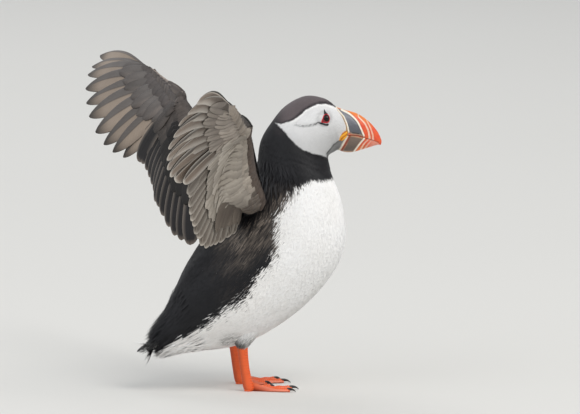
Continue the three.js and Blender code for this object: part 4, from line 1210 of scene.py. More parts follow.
class PUFFIN_OT_coat(bpy.types.Operator):
    """Small feathers over the body, head and thighs, lying back along them"""
    bl_idname = "puffin.coat"
    bl_label = "Body feathers"

    def execute(self, context):
        rng = np.random.default_rng(11)
        thin = thinning()
        zones = [
            ("coat_trunk", 0.05, 8.4, "body_density", 1.0, "body_feathers"),
            ("coat_neck", 8.4, 11.5, "body_density", 2.3, "black_feathers"),
            ("coat_head", 11.5, 18.0, "face_density", 1.0, "face_feathers"),
        ]
        for number, (name, first, last, dense, times, slot_name) in enumerate(zones):
            density = getattr(setting("plumage"), dense) * times * thin
            white_below = 0.75 if name == "coat_trunk" else 0.0
            s, phi = strewn(body_point, (first, -math.pi), (last, math.pi),
                            lambda u, v: density * (1 + white_below * under_edge(u, v)), number)
            kept = kept_on_body(s, phi)
            s, phi = s[kept], phi[kept]
            n = len(s)
            length = tuft_length(s, *in_head(body_point(s, phi, 0.0))) * rng.uniform(0.75, 1.25, n)
            light = under_edge(s, phi)
            width = mix(1.0 + 0.25 * light, 0.56, head_share(s)) * rng.uniform(0.8, 1.25, n) * thin ** -0.5
            depth = coat_depth(s)
            low = -depth - 0.15
            high = -0.2 + rng.normal(0, 0.13, n) * mix(1.0 - 0.6 * light, 0.25, head_share(s))
            lean = rng.normal(0, 0.11, n)
            found = tufts(body_surface, s, phi, -1.0, length, width, low, high, lean)
            wander = ripple(body_point(s, phi, 0.0), 30, 8) * 0.03
            colours = body_colours(s, phi, 3, rng.normal(0, 3.5, n))
            vary = 0.06 - 0.035 * ease(0.3, 0.6, colours.mean(-1))
            colours = np.clip(colours * (1 + rng.normal(0, 1, n) * vary + wander)[:, None], 0.001, 1)
            lay_coat(name, found, colours, *body_map(s, phi), slot_name)
        self.wisps(thin)
        self.tail_locks(thin)
        for key, side in SIDES.items():
            surface = thigh_surface(side)
            t, psi = strewn(surface, (0.25, 0), (0.98, 2 * math.pi),
                            lambda u, v: np.full(u.shape, 1.5 * thin), 7)
            n = len(t)
            length = np.interp(t, [0, 1], [8.5, 4.2]) * rng.uniform(0.8, 1.2, n)
            width = np.interp(t, [0, 1], [0.8, 0.5]) * rng.uniform(0.8, 1.2, n)
            low = -np.interp(t, [0, 0.6, 1], [2.2, 1.4, 0.6]) - 0.1
            found = tufts(surface, t, psi, 1.0, length, width, low, rng.normal(0, 0.2, n),
                          rng.normal(0.4, 0.16, n))
            shade = mix(1.0, rng.uniform(0.4, 1.2, n), ease(0.2, 0.6, t))
            colours = np.clip(thigh_colours(t, psi) * shade[:, None], 0, 1)
            lay_coat(f"coat_thigh_{key}", found, colours, psi / (2 * math.pi) * 0.98 + 0.01, t * 0.98 + 0.01,
                     "body_feathers")
        return {"FINISHED"}

    def wisps(self, thin):
        """Long loose feathers: brown and grey ones from under the wings over the flanks, and short black and
        brown ones climbing from the shoulders over the wings' roots."""
        rng = np.random.default_rng(17)
        kinds = (("flank", 2.6, 8.5, 0.55, 13, 24, 0.35), ("shoulder", 7.4, 9.6, 0.9, 9, 15, 2.2),
                 ("scapular", 5.6, 8.8, 0.5, 16, 26, 4.0))
        for kind, (key, side) in itertools.product(kinds, SIDES.items()):
            name, first, last, dense, least, most, rise = kind

            def density(s, phi):
                degrees = np.degrees(phi) * side
                edge = degrees - np.minimum(flank_edge(s), flank_edge(s - 0.8))
                if name == "scapular":
                    share = ease(5.6, 6.6, s) * ease(8.8, 8.2, s)
                    share = share * ease(6, 14, degrees) * ease(44, 32, degrees)
                elif name == "shoulder":
                    share = ease(7.4, 7.9, s) * ease(9.4, 8.8, s) * ease(8, 16, degrees) * ease(0, -12, edge)
                else:
                    share = ease(2.6, 5.0, s) * ease(8.5, 7.6, s) * ease(18, 40, degrees) * ease(1, -9, edge)
                return dense * thin * share

            s, phi = strewn(body_point, (first, min(0, side * math.pi)), (last, max(0, side * math.pi)),
                            density, 5)
            n = len(s)
            degrees = np.degrees(phi) * side
            length = rng.uniform(least, most, n) * ease(2, 6, s) ** 0.5
            broad, sideways = (2.0, 0.55) if name == "scapular" else (1.3, 0.10)
            found = tufts(body_surface, s, phi, -1.0, length, broad * rng.uniform(0.7, 1.3, n), -1.2,
                          rise * rng.uniform(0.2, 1.4, n), rng.normal(0, 0.12, n) + sideways * side)
            share = ease(3.0, 5.2, s) * ease(22, 42, degrees) * ease(80, 62, degrees)
            if name != "flank":
                share = 0.35 * ease(8.6, 7.8, s) * ease(30, 45, degrees)
            light = rng.beta(1.6, 1.6, n) * (0.75 + 0.5 * ripple(body_point(s, phi, 0.0), 12, 6))
            brown = mix(hue("plumage", "black"), paint("857a70"), np.clip(light * share, 0, 1)[:, None])
            lay_coat(f"coat_{name}_{key}", found, brown, *body_map(s, phi), "body_feathers")

    def tail_locks(self, thin):
        """Long feathers from the body's end out over the root of the tail, black above and white below."""
        rng = np.random.default_rng(23)
        s, phi = strewn(body_point, (0.12, -math.pi), (1.9, math.pi),
                        lambda u, v: 1.1 * thin * ease(0.1, 0.5, u) * ease(1.9, 1.2, u), 9)
        n = len(s)
        root = body_surface(s, phi, -1.2)
        out = unit(body_surface(s, phi, 1.0) - root)
        tail = np.array([-math.cos(TAIL_DROOP), 0.0, -math.sin(TAIL_DROOP)])
        along_body = unit(body_surface(s - 0.1, phi, 0.0) - body_surface(s, phi, 0.0))
        way = mix(along_body, tail, ease(1.6, 0.4, s)[:, None] * 0.85)
        way = unit(way + out * 0.03 + rng.normal(0, 0.05, (n, 3)))
        length = rng.uniform(10, 19, n)[:, None]
        lift = out * rng.uniform(1.2, 2.2, n)[:, None]
        found = spindles([root, root + way * length * 0.5 + lift, root + way * length + lift * 0.8], out,
                         rng.uniform(1.0, 1.7, n))
        colours = body_colours(s, phi, 3, rng.normal(0, 4, n))
        colours = np.clip(colours * (1 + rng.normal(0, 0.06, n))[:, None], 0, 1)
        lay_coat("coat_rump", found, colours, *body_map(s, phi), "body_feathers")


# ------------------------------------------------------------------ wings

def spacing(place, a, d):
    """Distance between neighbouring feather places."""
    return np.linalg.norm(place(a + 0.5, d, 1, 0.0) - place(a - 0.5, d, 1, 0.0), axis=-1)


# How each wing's primaries look, pointed on the left and round on the right: width from the innermost to
# the outermost and outline of the end; then, from below, brightness, the end's colour and where it starts,
# and the painted shade at the root, under the coverts, and where that starts
PRIMARY_LOOKS = {
    "L": {"width": (1.05, 1),
          "shape": {"tip_power": 2.0, "tip_sharp": 0.7, "tip_from": 0.48, "tilt": 0.07},
          "bright": 1.0, "end": "8f8376", "end_from": 0.8, "shade": (0.3, 0.5)},
    "R": {"width": (1.35, 0.95),
          "shape": {"tip_power": 2.2, "tip_sharp": 0.5, "tip_from": 0.66, "tilt": 0.045},
          "bright": 0.8, "end": "efe8dd", "end_from": 0.94, "shade": (0.8, 1.0)},
}


def primary_vanes(key, wing, rng):
    """The primaries of one wing, with their colours."""
    look = PRIMARY_LOOKS[key]
    a = INNER_FEATHERS + np.arange(PRIMARIES).astype(float)
    length = wing.lengths(a)[0]
    half = spacing(wing.place, a, length * 0.72) * 0.76 * np.linspace(*look["width"], PRIMARIES)
    half[-1] *= 0.8
    found = vanes(wing.place, a, -5.0, length, 1, half, -0.5, 0.0, FLIGHT_COLUMNS, 26,
                  outer_share=np.array([0.72] * 7 + [0.66, 0.5, 0.24]),
                  curve=np.linspace(0.0, 0.06, PRIMARIES), thick=size("wings", "vane"),
                  shaft=size("wings", "shaft"), root_share=0.5, **look["shape"])
    above = tones(hue("wings", "upper_outer"), hue("wings", "upper_inner"), paint("3f3b38"), 0.74,
                  paint("57504b"), 0.5, paint("4a4542"))
    below = tones(hue("wings", "under_outer") * look["bright"], hue("wings", "under_inner") * look["bright"],
                  paint(look["end"]), look["end_from"], paint("f0eae0"), 0.9, paint("e2d9cc"))
    painted = shade_vanes(found, above, below, rng, 0.05, *look["shade"])
    if key == "R":
        tone = painted[1][0]
        tone[-1][:, found["columns"] > 0.3] *= 0.3
        tone *= np.linspace(0.76, 1.0, PRIMARIES)[:, None, None, None]
    return found, painted


def secondary_vanes(wing, rng):
    """The secondaries and tertials of one wing, with their colours."""
    dark = hue("wings", "dark")
    a = np.arange(INNER_FEATHERS).astype(float)
    length = wing.lengths(a)[0] * rng.uniform(0.97, 1.03, INNER_FEATHERS)
    half = np.maximum(spacing(wing.place, a, length * 0.8) * 0.85, 5.6)
    found = vanes(wing.place, a, -6.0, length, 1, half, -0.8, 0.0, FLIGHT_COLUMNS, 18, outer_share=0.85,
                  tip_power=2.2, tip_sharp=0.5, tip_from=0.7, tilt=0.07, curve=0.02,
                  thick=size("wings", "vane"), shaft=size("wings", "shaft"), root_share=0.6)
    above = tones(dark, dark * 1.2, paint("7d7269"), 0.92, paint("a89c91"), 0.6, dark * 0.7)
    below = tones(paint("655c53"), paint("726960"), paint("cbc3b8"), 0.94, paint("cec7bc"), 0.7,
                  paint("a59c90"))
    return found, shade_vanes(found, above, below, rng, 0.08, 0.5, 1.0)


# Rows of coverts: face, first and last feather place, feathers to each place, start as a share of the
# flesh's chord ahead of its trailing edge, end as a share of the flight feather's length, half width as a
# share of the spacing, heights at root and tip, and colours of outer vane, inner vane, end and rim
UPPER_ROWS = [
    (1, 15, 23.8, 1.0, 0.5, 0.41, 0.80, -0.3, 1.3, "6c6764", "7d7570", "554f4c", "2f2a28", 0.8),
    (1, 15, 23.6, 1.15, 0.6, 0.15, 0.85, -0.4, 1.9, "625c5a", "6f6864", "4a4442", "2f2a28", 0.8),
    (1, -1, 10.9, 1.0, 0.15, 0.46, 0.85, 0.0, 1.3, "262423", "2c2827", "211f1e", "453f3b", 0.4),
    (1, 11, 14.6, 1.0, 0.15, 0.44, 0.85, 0.0, 1.3, "4e4845", "5a534e", "3f3a37", "2b2624", 0.7),
    (1, -2, 10.4, 1.3, 0.4, 0.20, 0.85, 0.0, 1.8, "201e1e", "221f1f", "1a1818", "332e2c", 0.4),
    (1, -3.8, 1.5, 1.2, 0.9, 0.72, 0.95, 0.0, 1.2, "1f1d1d", "211f1f", "1a1818", "332e2c", 0.4),
    (1, -3.8, 1.5, 1.4, 1.3, 0.35, 0.95, -0.2, 2.2, "1f1d1d", "211f1f", "1a1818", "332e2c", 0.4),
    (1, 10.8, 14.8, 1.3, 0.4, 0.20, 0.85, 0.0, 1.8, "4a4441", "544d49", "3c3734", "292422", 0.7),
]
UNDER_ROWS = [
    (-1, 15, 23.6, 1.0, 0.4, 0.44, 0.80, -0.3, 1.2, "7d746c", "8c8279", "a0978d", "4f463f", 0.7),
    (-1, 15, 23.2, 1.2, 0.5, 0.26, 0.85, -0.4, 1.8, "958b81", "a1978d", "b0a69c", "5a5048", 0.7),
    (-1, 2, 14.8, 1.0, 0.15, 0.56, 0.80, 0.0, 1.2, "958d82", "827a70", "aaa298", "c9c2b8", 0.5),
    (-1, 1, 15.2, 1.25, 0.4, 0.36, 0.85, 0.0, 1.8, "a79f94", "8f877d", "b8b0a6", "665d53", 0.6),
    (-1, -3, 4.5, 1.2, 0.35, 0.66, 0.90, 0.0, 2.2, "665c53", "5d534b", "71675d", "a1978c", 0.6),
    (-1, 1.6, 15.4, 1.3, 0.62, 0.14, 0.90, -0.2, 2.3, "a49c91", "90887e", "b3aba1", "665d53", 0.6),
    (-1, -2.6, 1.5, 1.5, 0.62, 0.14, 0.90, -0.2, 2.3, "62584f", "574d45", "71675d", "a89e93", 0.7),
]


def covert_rows(wing, rows, rng):
    """Rows of coverts over the flight feathers, each lying over the row behind it."""
    made = []
    for face, first, last, per, start, end, wide, low, high, outer, inner, tip, rim, rim_share in rows:
        a = np.arange(first, last, 1 / per)
        n = len(a)
        a = a + rng.normal(0, 0.08, n)
        length, chord = wing.lengths(a)
        stop = end * length * rng.uniform(0.92, 1.08, n)
        half = np.clip(spacing(wing.place, a, stop) * wide / per ** 0.6, 2.6, 7.0)
        half = half * ease(25.5, 22.0, a) ** 0.5
        found = vanes(wing.place, a, -min(start, 0.95) * chord, stop, face, half, low,
                      high + rng.normal(0, 0.12, n), COVERT_COLUMNS, 10, outer_share=0.95, tip_from=0.5,
                      tilt=0.06, camber=0.09, thick=0.14, shaft=0.14, skew=rng.normal(0, 0.12, n),
                      curve=rng.normal(0.01, 0.012, n))
        face_tones = tones(paint(outer), paint(inner), paint(tip), 0.55, paint(rim), rim_share,
                           paint(outer) * 0.85)
        made.append((found, shade_vanes(found, face_tones, face_tones, rng, 0.1, 0.3)))
    return made


def lesser_rows(wing, rng):
    """Small overlapping feathers over the arm and hand, row behind row from the leading edge back."""
    made = []
    far_hand = paint("67605c")
    # face, first and last place, feathers to a place, shares of the chord, length as a share, tone and rim
    kinds = [
        (1, -3.0, 9.6, 1.5, (0.2, 0.36, 0.52, 0.68, 0.82), 0.42, paint("1d1b1b"), paint("302c2a")),
        (1, 9.6, 14.8, 1.5, (0.2, 0.36, 0.52, 0.68, 0.82), 0.42, paint("544d49"), paint("2c2725")),
        (1, 14.9, 22.3, 1.3, (0.3, 0.56), 0.8, far_hand, paint("37322f")),
        (-1, 1.8, 15.2, 1.4, (0.68, 0.8), 0.75, paint("9a9186"), paint("bdb5aa")),
        (-1, -3.0, 2.0, 1.6, (0.45, 0.62, 0.78), 0.5, paint("5a5048"), paint("a89e93")),
        (-1, -3.0, 15.2, 1.7, (0.88, 0.94), 0.26, paint("51453d"), paint("6d6057")),
        (-1, 15.2, 22.4, 1.1, (0.3, 0.55), 0.95, paint("8f857a"), paint("5c5249")),
    ]
    for face, first, last, per, shares, run_share, tone, rim in kinds:
        for share in shares:
            a = np.arange(first, last, 1 / per) + (share * 7 % 1) / per
            n = len(a)
            a = a + rng.normal(0, 0.08, n)
            chord = wing.lengths(a)[1]
            run = np.clip(chord * run_share, 5.0, 16.0) * rng.uniform(0.88, 1.12, n)
            start = -share * chord
            half = np.clip(spacing(wing.place, a, start) * 0.85 / per, 2.3, 5.0)
            found = vanes(wing.place, a, start, start + run, face, half, -0.7, 0.9 + rng.normal(0, 0.1, n),
                          COVERT_COLUMNS, 7, tip_from=0.35, tilt=0.05, camber=0.10, thick=0.12, shaft=0.08,
                          skew=0.25 + rng.normal(0, 0.1, n))
            both = tones(tone, tone, tone * 1.12, 0.6, rim, 0.55, tone * 0.88)
            made.append((found, shade_vanes(found, both, both, rng, 0.12, 0.25)))
    return made


def edge_coat(key, wing, thin):
    """Tiny feathers wrapping the wing's leading edge, lying out along it."""
    rng = np.random.default_rng(61)
    brown, black, grey = paint("4c423b"), paint("1b1919"), paint("6e6763")
    for part, first, last in (("arm", -3.6, 15.2), ("hand", 15.0, 24.3)):
        surface = flesh(wing, first, last)
        u, psi = strewn(surface, (0, math.pi - 1.5), (0.985, math.pi + 1.5),
                        lambda a, b: np.full(a.shape, 2.2 * thin), 3)
        n = len(u)
        length = (6.0 if part == "arm" else 5.0) * rng.uniform(0.8, 1.2, n)
        sideways = -np.sin(psi) * 0.07 + rng.normal(0, 0.04, n)
        found = tufts(surface, u, psi, 1.0, length, 0.8 * rng.uniform(0.8, 1.2, n), -0.7,
                      0.1 + rng.normal(0, 0.05, n), sideways)
        under = ease(0.1, -0.25, np.sin(psi))[:, None]
        edge = bump_at(psi, math.pi, 0.5)[:, None]
        near_wrist = ease(0.35, 0.95, u)[:, None]
        # on the left wing the hand's leading edge is a painted highlight, pale; on the right wing it keeps
        # its own dark colour
        top = mix(mix(black, brown, edge * 0.5), grey, near_wrist * 0.7) if part == "arm" else \
            mix(grey, paint("b3a59b" if key == "L" else "2b221d"), edge)
        colours = mix(np.ones((n, 3)) * top, brown * (0.6 if part == "hand" and key == "R" else 1), under)
        colours = np.clip(colours * (1 + rng.normal(0, 0.14, n))[:, None], 0, 1)
        lay_coat(f"coat_wing_{part}_{key}", found, colours, psi / (2 * math.pi), u * 0.98 + 0.01,
                 "black_feathers")


class PUFFIN_OT_wings(bpy.types.Operator):
    """Flight feathers, coverts and alulae of both wings"""
    bl_idname = "puffin.wings"
    bl_label = "Wings"

    def execute(self, context):
        for number, key in enumerate(SIDES):
            rng = np.random.default_rng(20 + number)
            wing = WingSurface(key)
            lay_vanes(f"primary_feathers_{key}", [primary_vanes(key, wing, rng)], "flight_feathers",
                      [f"primaries_{key}"])
            lay_vanes(f"secondary_feathers_{key}", [secondary_vanes(wing, rng)], "flight_feathers",
                      [f"secondaries_{key}"])
            lay_vanes(f"upper_coverts_{key}", covert_rows(wing, UPPER_ROWS, rng), "black_feathers")
            lay_vanes(f"under_coverts_{key}", covert_rows(wing, UNDER_ROWS, rng), "black_feathers")
            lay_vanes(f"lesser_coverts_{key}", lesser_rows(wing, rng), "black_feathers")
            edge_coat(key, wing, thinning())
            a = np.array([15.4, 15.2, 15.0])
            found = vanes(wing.place, a, [-13.5, -12.5, -11.0], [-15.5, -13.5, -11.0], 1, [2.4, 2.8, 3.0],
                          -0.5, 1.4, COVERT_COLUMNS, 10, outer_share=0.8, skew=np.array([4.2, 3.6, 3.0]),
                          tilt=-0.03)
            black = tones(paint("1b1a1a"), paint("232020"), paint("1b1a1a"), 0.8, paint("57504b"), 0.4) \
                if key == "R" else tones(paint("5d5653"), paint("6d6560"), paint("4a4441"), 0.8,
                                         paint("a99d92"), 0.6)
            lay_vanes(f"alula_feathers_{key}", [(found, shade_vanes(found, black, black, rng))],
                      "flight_feathers", [f"alula_{key}"])
        return {"FINISHED"}


class PUFFIN_OT_tail(bpy.types.Operator):
    """Twelve tail feathers with the black coverts above and the white ones below"""
    bl_idname = "puffin.tail"
    bl_label = "Tail"

    def execute(self, context):
        rng = np.random.default_rng(31)
        a = np.arange(TAIL_FEATHERS).astype(float)
        off = (a - 5.5) / 5.5
        black, white = paint("161515"), hue("plumage", "white")
        length = TAIL_LENGTH * (1 - 0.24 * off ** 2)
        dark = tones(black * 1.2, black, black * 1.3, 0.8, paint("2c2a2a"), 0.4, black)
        found = vanes(tail_place, a, -8.0, length, 1, 3.6, -1.0, 0.0, FLIGHT_COLUMNS, 12,
                      tip_from=0.7, tilt=0.12 * np.sign(off), curve=0, thick=0.3, shaft=0.25, root_share=0.7)
        groups = [(found, shade_vanes(found, dark, dark, rng))]
        for face, tone in ((1, dark), (-1, tones(white, white, white * 0.97, 0.8, white, 0.2, white * 0.9))):
            for start, stop, rise in ((-10, 29, 1.6), (-10, 24, 2.8), (-11, 18, 4.2), (-12, 12, 5.8),
                                      (-13, 6, 7.4)):
                at = np.arange(0.2, 11, 0.85) + rng.normal(0, 0.1, 13)
                off_at = (at - 5.5) / 5.5
                found = vanes(tail_place, at, np.full(13, start), stop * (1 - 0.2 * off_at ** 2), face,
                              np.full(13, 3.0), rise + 1, rise * 0.55, COVERT_COLUMNS, 7, tip_from=0.5,
                              tilt=0.05 * np.sign(off_at), camber=0.12, thick=0.2, shaft=0.1)
                groups.append((found, shade_vanes(found, tone, tone, rng, 0.05)))
        lay_vanes("tail_feathers", groups, "black_feathers", ["tail"])
        return {"FINISHED"}


# ------------------------------------------------------------------ bill

def head_side_table():
    """Points over the near half of the head, as (u, z) and how far out they lie."""
    s, phi = np.meshgrid(np.linspace(11, 18, 150), np.linspace(0.02, math.pi - 0.02, 150), indexing="ij")
    u, v, z = in_head(body_surface(s, phi, 0.0))
    return np.stack([u.ravel(), z.ravel()], -1), v.ravel()


def head_side(u, z, table):
    """How far out to the side the head's surface lies at (u, z)."""
    shape = np.shape(u)
    spots = np.stack([np.ravel(u), np.ravel(z)], -1)
    return table[1][nearest(spots, table[0])].reshape(shape)


def bill_half(upper, u, z):
    """Half thickness of the bill at (u, z), by the nearest point of the plain bill surface."""
    s, tau = np.meshgrid(np.linspace(0, 1, 160), np.linspace(0, 1, 90), indexing="ij")
    edge = along(GAPE, s)
    far = along(CULMEN if upper else GONYS, s)
    spots = mix(edge, far, tau[..., None]).reshape(-1, 2)
    wide = (along(BILL_HALF_WIDTHS, s)[..., 0] * (1 - tau ** 2.4) ** 0.55).ravel()
    shape = np.shape(u)
    return wide[nearest(np.stack([np.ravel(u), np.ravel(z)], -1), spots)].reshape(shape)


UPPER_PLATE = np.array([[65.6, 227.6], [68.9, 226], [73.2, 220.8], [75.3, 215.6], [76.3, 212.2],
                        [77.4, 207.8],
                        [78.9, 206.5], [83.8, 205.8], [89.5, 204.6], [86.6, 212.1], [83.4, 217.5],
                        [78.4, 222.1], [73, 224.8]])
UPPER_RIDGE = np.array([[71.5, 225.6], [73, 224.9], [78.4, 222.1], [83.4, 217.5], [86.6, 212.1], [89.6, 205]])
UPPER_GROOVES = [np.array([[85, 222], [85.4, 219.8], [90.3, 214.6], [93.3, 208.4], [94.2, 202.6]]),
                 np.array([[91.5, 217.4], [94.6, 211.5], [96.6, 205.8], [97, 201.8]])]
LOWER_PLATE = np.array([[77.4, 205], [84, 204.6], [89.4, 202.9], [89.2, 201.6], [86.1, 198.1], [82.7, 193.3],
                        [81, 191.2], [73, 191.5], [72.2, 193.5], [75, 198.5]])
LOWER_RIDGE = np.array([[89.8, 203], [89.4, 202.1], [86.1, 198.1], [82.7, 193.3], [81, 190.5]])
LOWER_GROOVES = [np.array([[93, 202], [92.5, 201.2], [89.8, 198.4], [87.5, 194.1], [86.6, 191.5]]),
                 np.array([[95.8, 201.5], [95.2, 200.3], [93, 197.8], [91.1, 195], [90.5, 193]])]
LOWER_BASE = np.array([[76.3, 205], [75.5, 203.3], [72.5, 197.8], [69.8, 192.7], [68.8, 190]])
NOSTRIL = np.array([[80.2, 207.4], [82.8, 207.1], [85.6, 206.6]])


def smooth_outline(outline):
    """Four points to each corner of a closed outline, on the smooth curve through its corners."""
    return loop_curve(outline, 4 * len(outline))


def bill_marks(upper, u, z):
    """Height and colour over one half of the bill: plate, pale ridge, grooves, and the horn's edges."""
    red, cream = hue("bill", "red"), hue("bill", "cream")
    orange, tan = paint("f08a34"), paint("c79a76")
    points = np.stack([u, z, u * 0], -1)
    streak = ripple(points * [0.5, 1, 1], 2.2, 41) * 0.05
    height = np.zeros(np.shape(u))
    tone = mix(red, orange, 0.12 + 0.1 * ripple(points, 9, 42)[..., None])
    if upper:
        top = along(CULMEN, np.linspace(0, 1, 60))
        rim = line_distance(top, u, z)[0]
        tone = mix(tone, orange * [1, 1.05, 1], (ease(3.2, 0.4, rim) * ease(100, 88, u))[..., None] * 0.8)
        depth = polygon_depth(smooth_outline(UPPER_PLATE), u, z)
        plate = hue("bill", "plate") * (1.18 - 0.5 * ease(222, 206, z))[..., None]
        plate = mix(plate, tan, (bump_at(depth, 0.6, 0.6) * ease(212, 206, z))[..., None] * 0.7)
        ridge, grooves, fade = UPPER_RIDGE, UPPER_GROOVES, (1.0, 0.75)
        lip = ease(1.8, 0.3, line_distance(along(GAPE, np.linspace(0, 1, 60)), u, z)[0])
        tone = mix(tone, mix(red, tan, 0.5), (lip * ease(92, 84, u))[..., None] * 0.8)
    else:
        depth = polygon_depth(smooth_outline(LOWER_PLATE), u, z)
        plate = hue("bill", "lower_plate") * [1, 0.9, 0.82] * (0.5 + 0.28 * ease(192, 203, z))[..., None]
        plate = mix(plate, tan, bump_at(depth, 0.5, 0.6)[..., None] * 0.8)
        ridge, grooves, fade = LOWER_RIDGE, LOWER_GROOVES, (0.9, 0.7)
        tone = mix(tone, orange, (ease(96, 88, u) * ease(200, 194, z))[..., None] * 0.5)
        base = line_distance(along(LOWER_BASE, np.linspace(0, 1, 30)), u, z)[0]
    tone = mix(tone, plate, ease(-0.4, 0.3, depth)[..., None])
    height = height + 0.25 * ease(-0.4, 0.6, depth)
    across = line_distance(along(ridge, np.linspace(0, 1, 40)), u, z)[0]
    on_ridge = ease(0.85, 0.45, across)
    tone = mix(tone, cream, on_ridge[..., None])
    # painted shade: a darker band in the furrow beside the pale ridge
    tone = mix(tone, tone * 0.6, bump_at(across, 1.0, 0.3)[..., None] * 0.6)
    height = height + size("bill", "ridge") * ease(1.2, 0.2, across) - 0.16 * bump_at(across, 1.3, 0.4)
    for groove, share in zip(grooves, fade):
        across, place = line_distance(along(groove, np.linspace(0, 1, 30)), u, z)
        across = across / (0.55 + 0.9 * place)
        tone = mix(tone, mix(cream, orange, 0.25), (ease(0.8, 0.3, across) * share * 0.85)[..., None])
        # painted shade: a darker band on the furrow's wall beside each groove's pale line
        tone = mix(tone, tone * 0.6, bump_at(across, 1.1, 0.3)[..., None] * 0.4 * share)
        height = height - size("bill", "groove") * share * np.exp(-(across / 0.5) ** 2) \
            + 0.16 * share * bump_at(across, 1.3, 0.7)
    if upper:
        tone = mix(tone, paint("b3956a"), ease(1.1, 0.6, u - bill_base_u(z))[..., None])
        # the nostril: a real slit, cut as a shallow dent, with the shadow inside it painted near-black
        slit = line_distance(NOSTRIL, u, z)[0]
        tone = mix(tone, paint("2a2524"), ease(0.55, 0.25, slit)[..., None])
        height = height - 0.45 * np.exp(-(slit / 0.45) ** 2)
    else:
        tone = mix(tone, paint("8c3219"), (ease(3.0, 2.0, base) * ease(0.6, 1.2, base))[..., None] * 0.9)
        behind = ease(0.2, 0.6, np.interp(z, LOWER_BASE[::-1, 1], LOWER_BASE[::-1, 0]) - u)
        tone = mix(tone, paint("9b9285"), behind[..., None])
        tone = mix(tone, cream, ease(1.0, 0.4, base)[..., None])
        tone = mix(tone, paint("eba692"), (ease(91, 98, u))[..., None] * 0.7)
    height = height + 0.06 * ripple(points, 1.7, 43)
    return height, np.clip(tone * (1 + streak)[..., None], 0.001, 1)


def bill_half_piece(upper):
    """One half of the bill: at each place from base to tip an arch from the right edge over the ridge to the
    left one, half thickness width * (1 - tau^2.4)^0.55 at height tau, closed by a sunken flat inside."""
    s = 1 - (1 - np.linspace(0, 1, 150)) ** 1.25
    rise = 1 - (1 - np.linspace(0, 1, 62)) ** 1.6
    tau = np.concatenate([rise, rise[-2::-1]])
    side = np.concatenate([np.full(61, -1.0), [0.0], np.full(61, 1.0)])
    edge = along(GAPE, s)
    if not upper:
        edge = edge - [0, 0.3]
    far = along(CULMEN if upper else GONYS, s)
    share = 1.0 if upper else LOWER_BILL_SHARE
    wide = along(BILL_HALF_WIDTHS, s)[:, 0] * share
    profile = mix(edge[:, None], far[:, None], tau[None, :, None])
    u, z = profile[..., 0], profile[..., 1]
    height, tone = bill_marks(upper, u, z)
    fade = (1 - tau ** 6)[None] * ease(1.0, 0.93, s)[:, None]
    half = wide[:, None] * (1 - tau ** 2.4)[None] ** 0.55
    half = half + height * fade * np.minimum(1, half / 1.5)
    arch = np.stack([u, side * half, z], -1)
    inner = np.linspace(-0.9, 0.9, 9)[::-1]
    hollow = 1.2 * (1 - inner ** 2) * np.minimum(1, wide[:, None] / 5) * (1 if upper else -1)
    palate = np.stack([np.broadcast_to(edge[:, :1], (len(s), 9)), wide[:, None] * inner,
                       edge[:, 1:] + hollow], -1)
    rings = turned(np.concatenate([arch, palate], 1))
    shades = np.concatenate([tone, np.broadcast_to(paint("b4553c"), (len(s), 9, 3))], 1)
    name = "bill_upper" if upper else "bill_lower"
    tube_piece(f"{name}_horn", rings, shades, "bill_plates", shared(bill_horn), [name])


def swept(path, across, out, half_wide, half_tall, ring=16):
    """A closed tube along a path: at each point a rounded section half_wide along across and half_tall along
    out, tapering at both ends by the caller's sizes."""
    psi = ring_angles(ring)
    return (path[:, None] + across[:, None] * (np.cos(psi)[None] * half_wide[:, None])[..., None]
            + out[:, None] * (np.sin(psi)[None] * half_tall[:, None])[..., None])


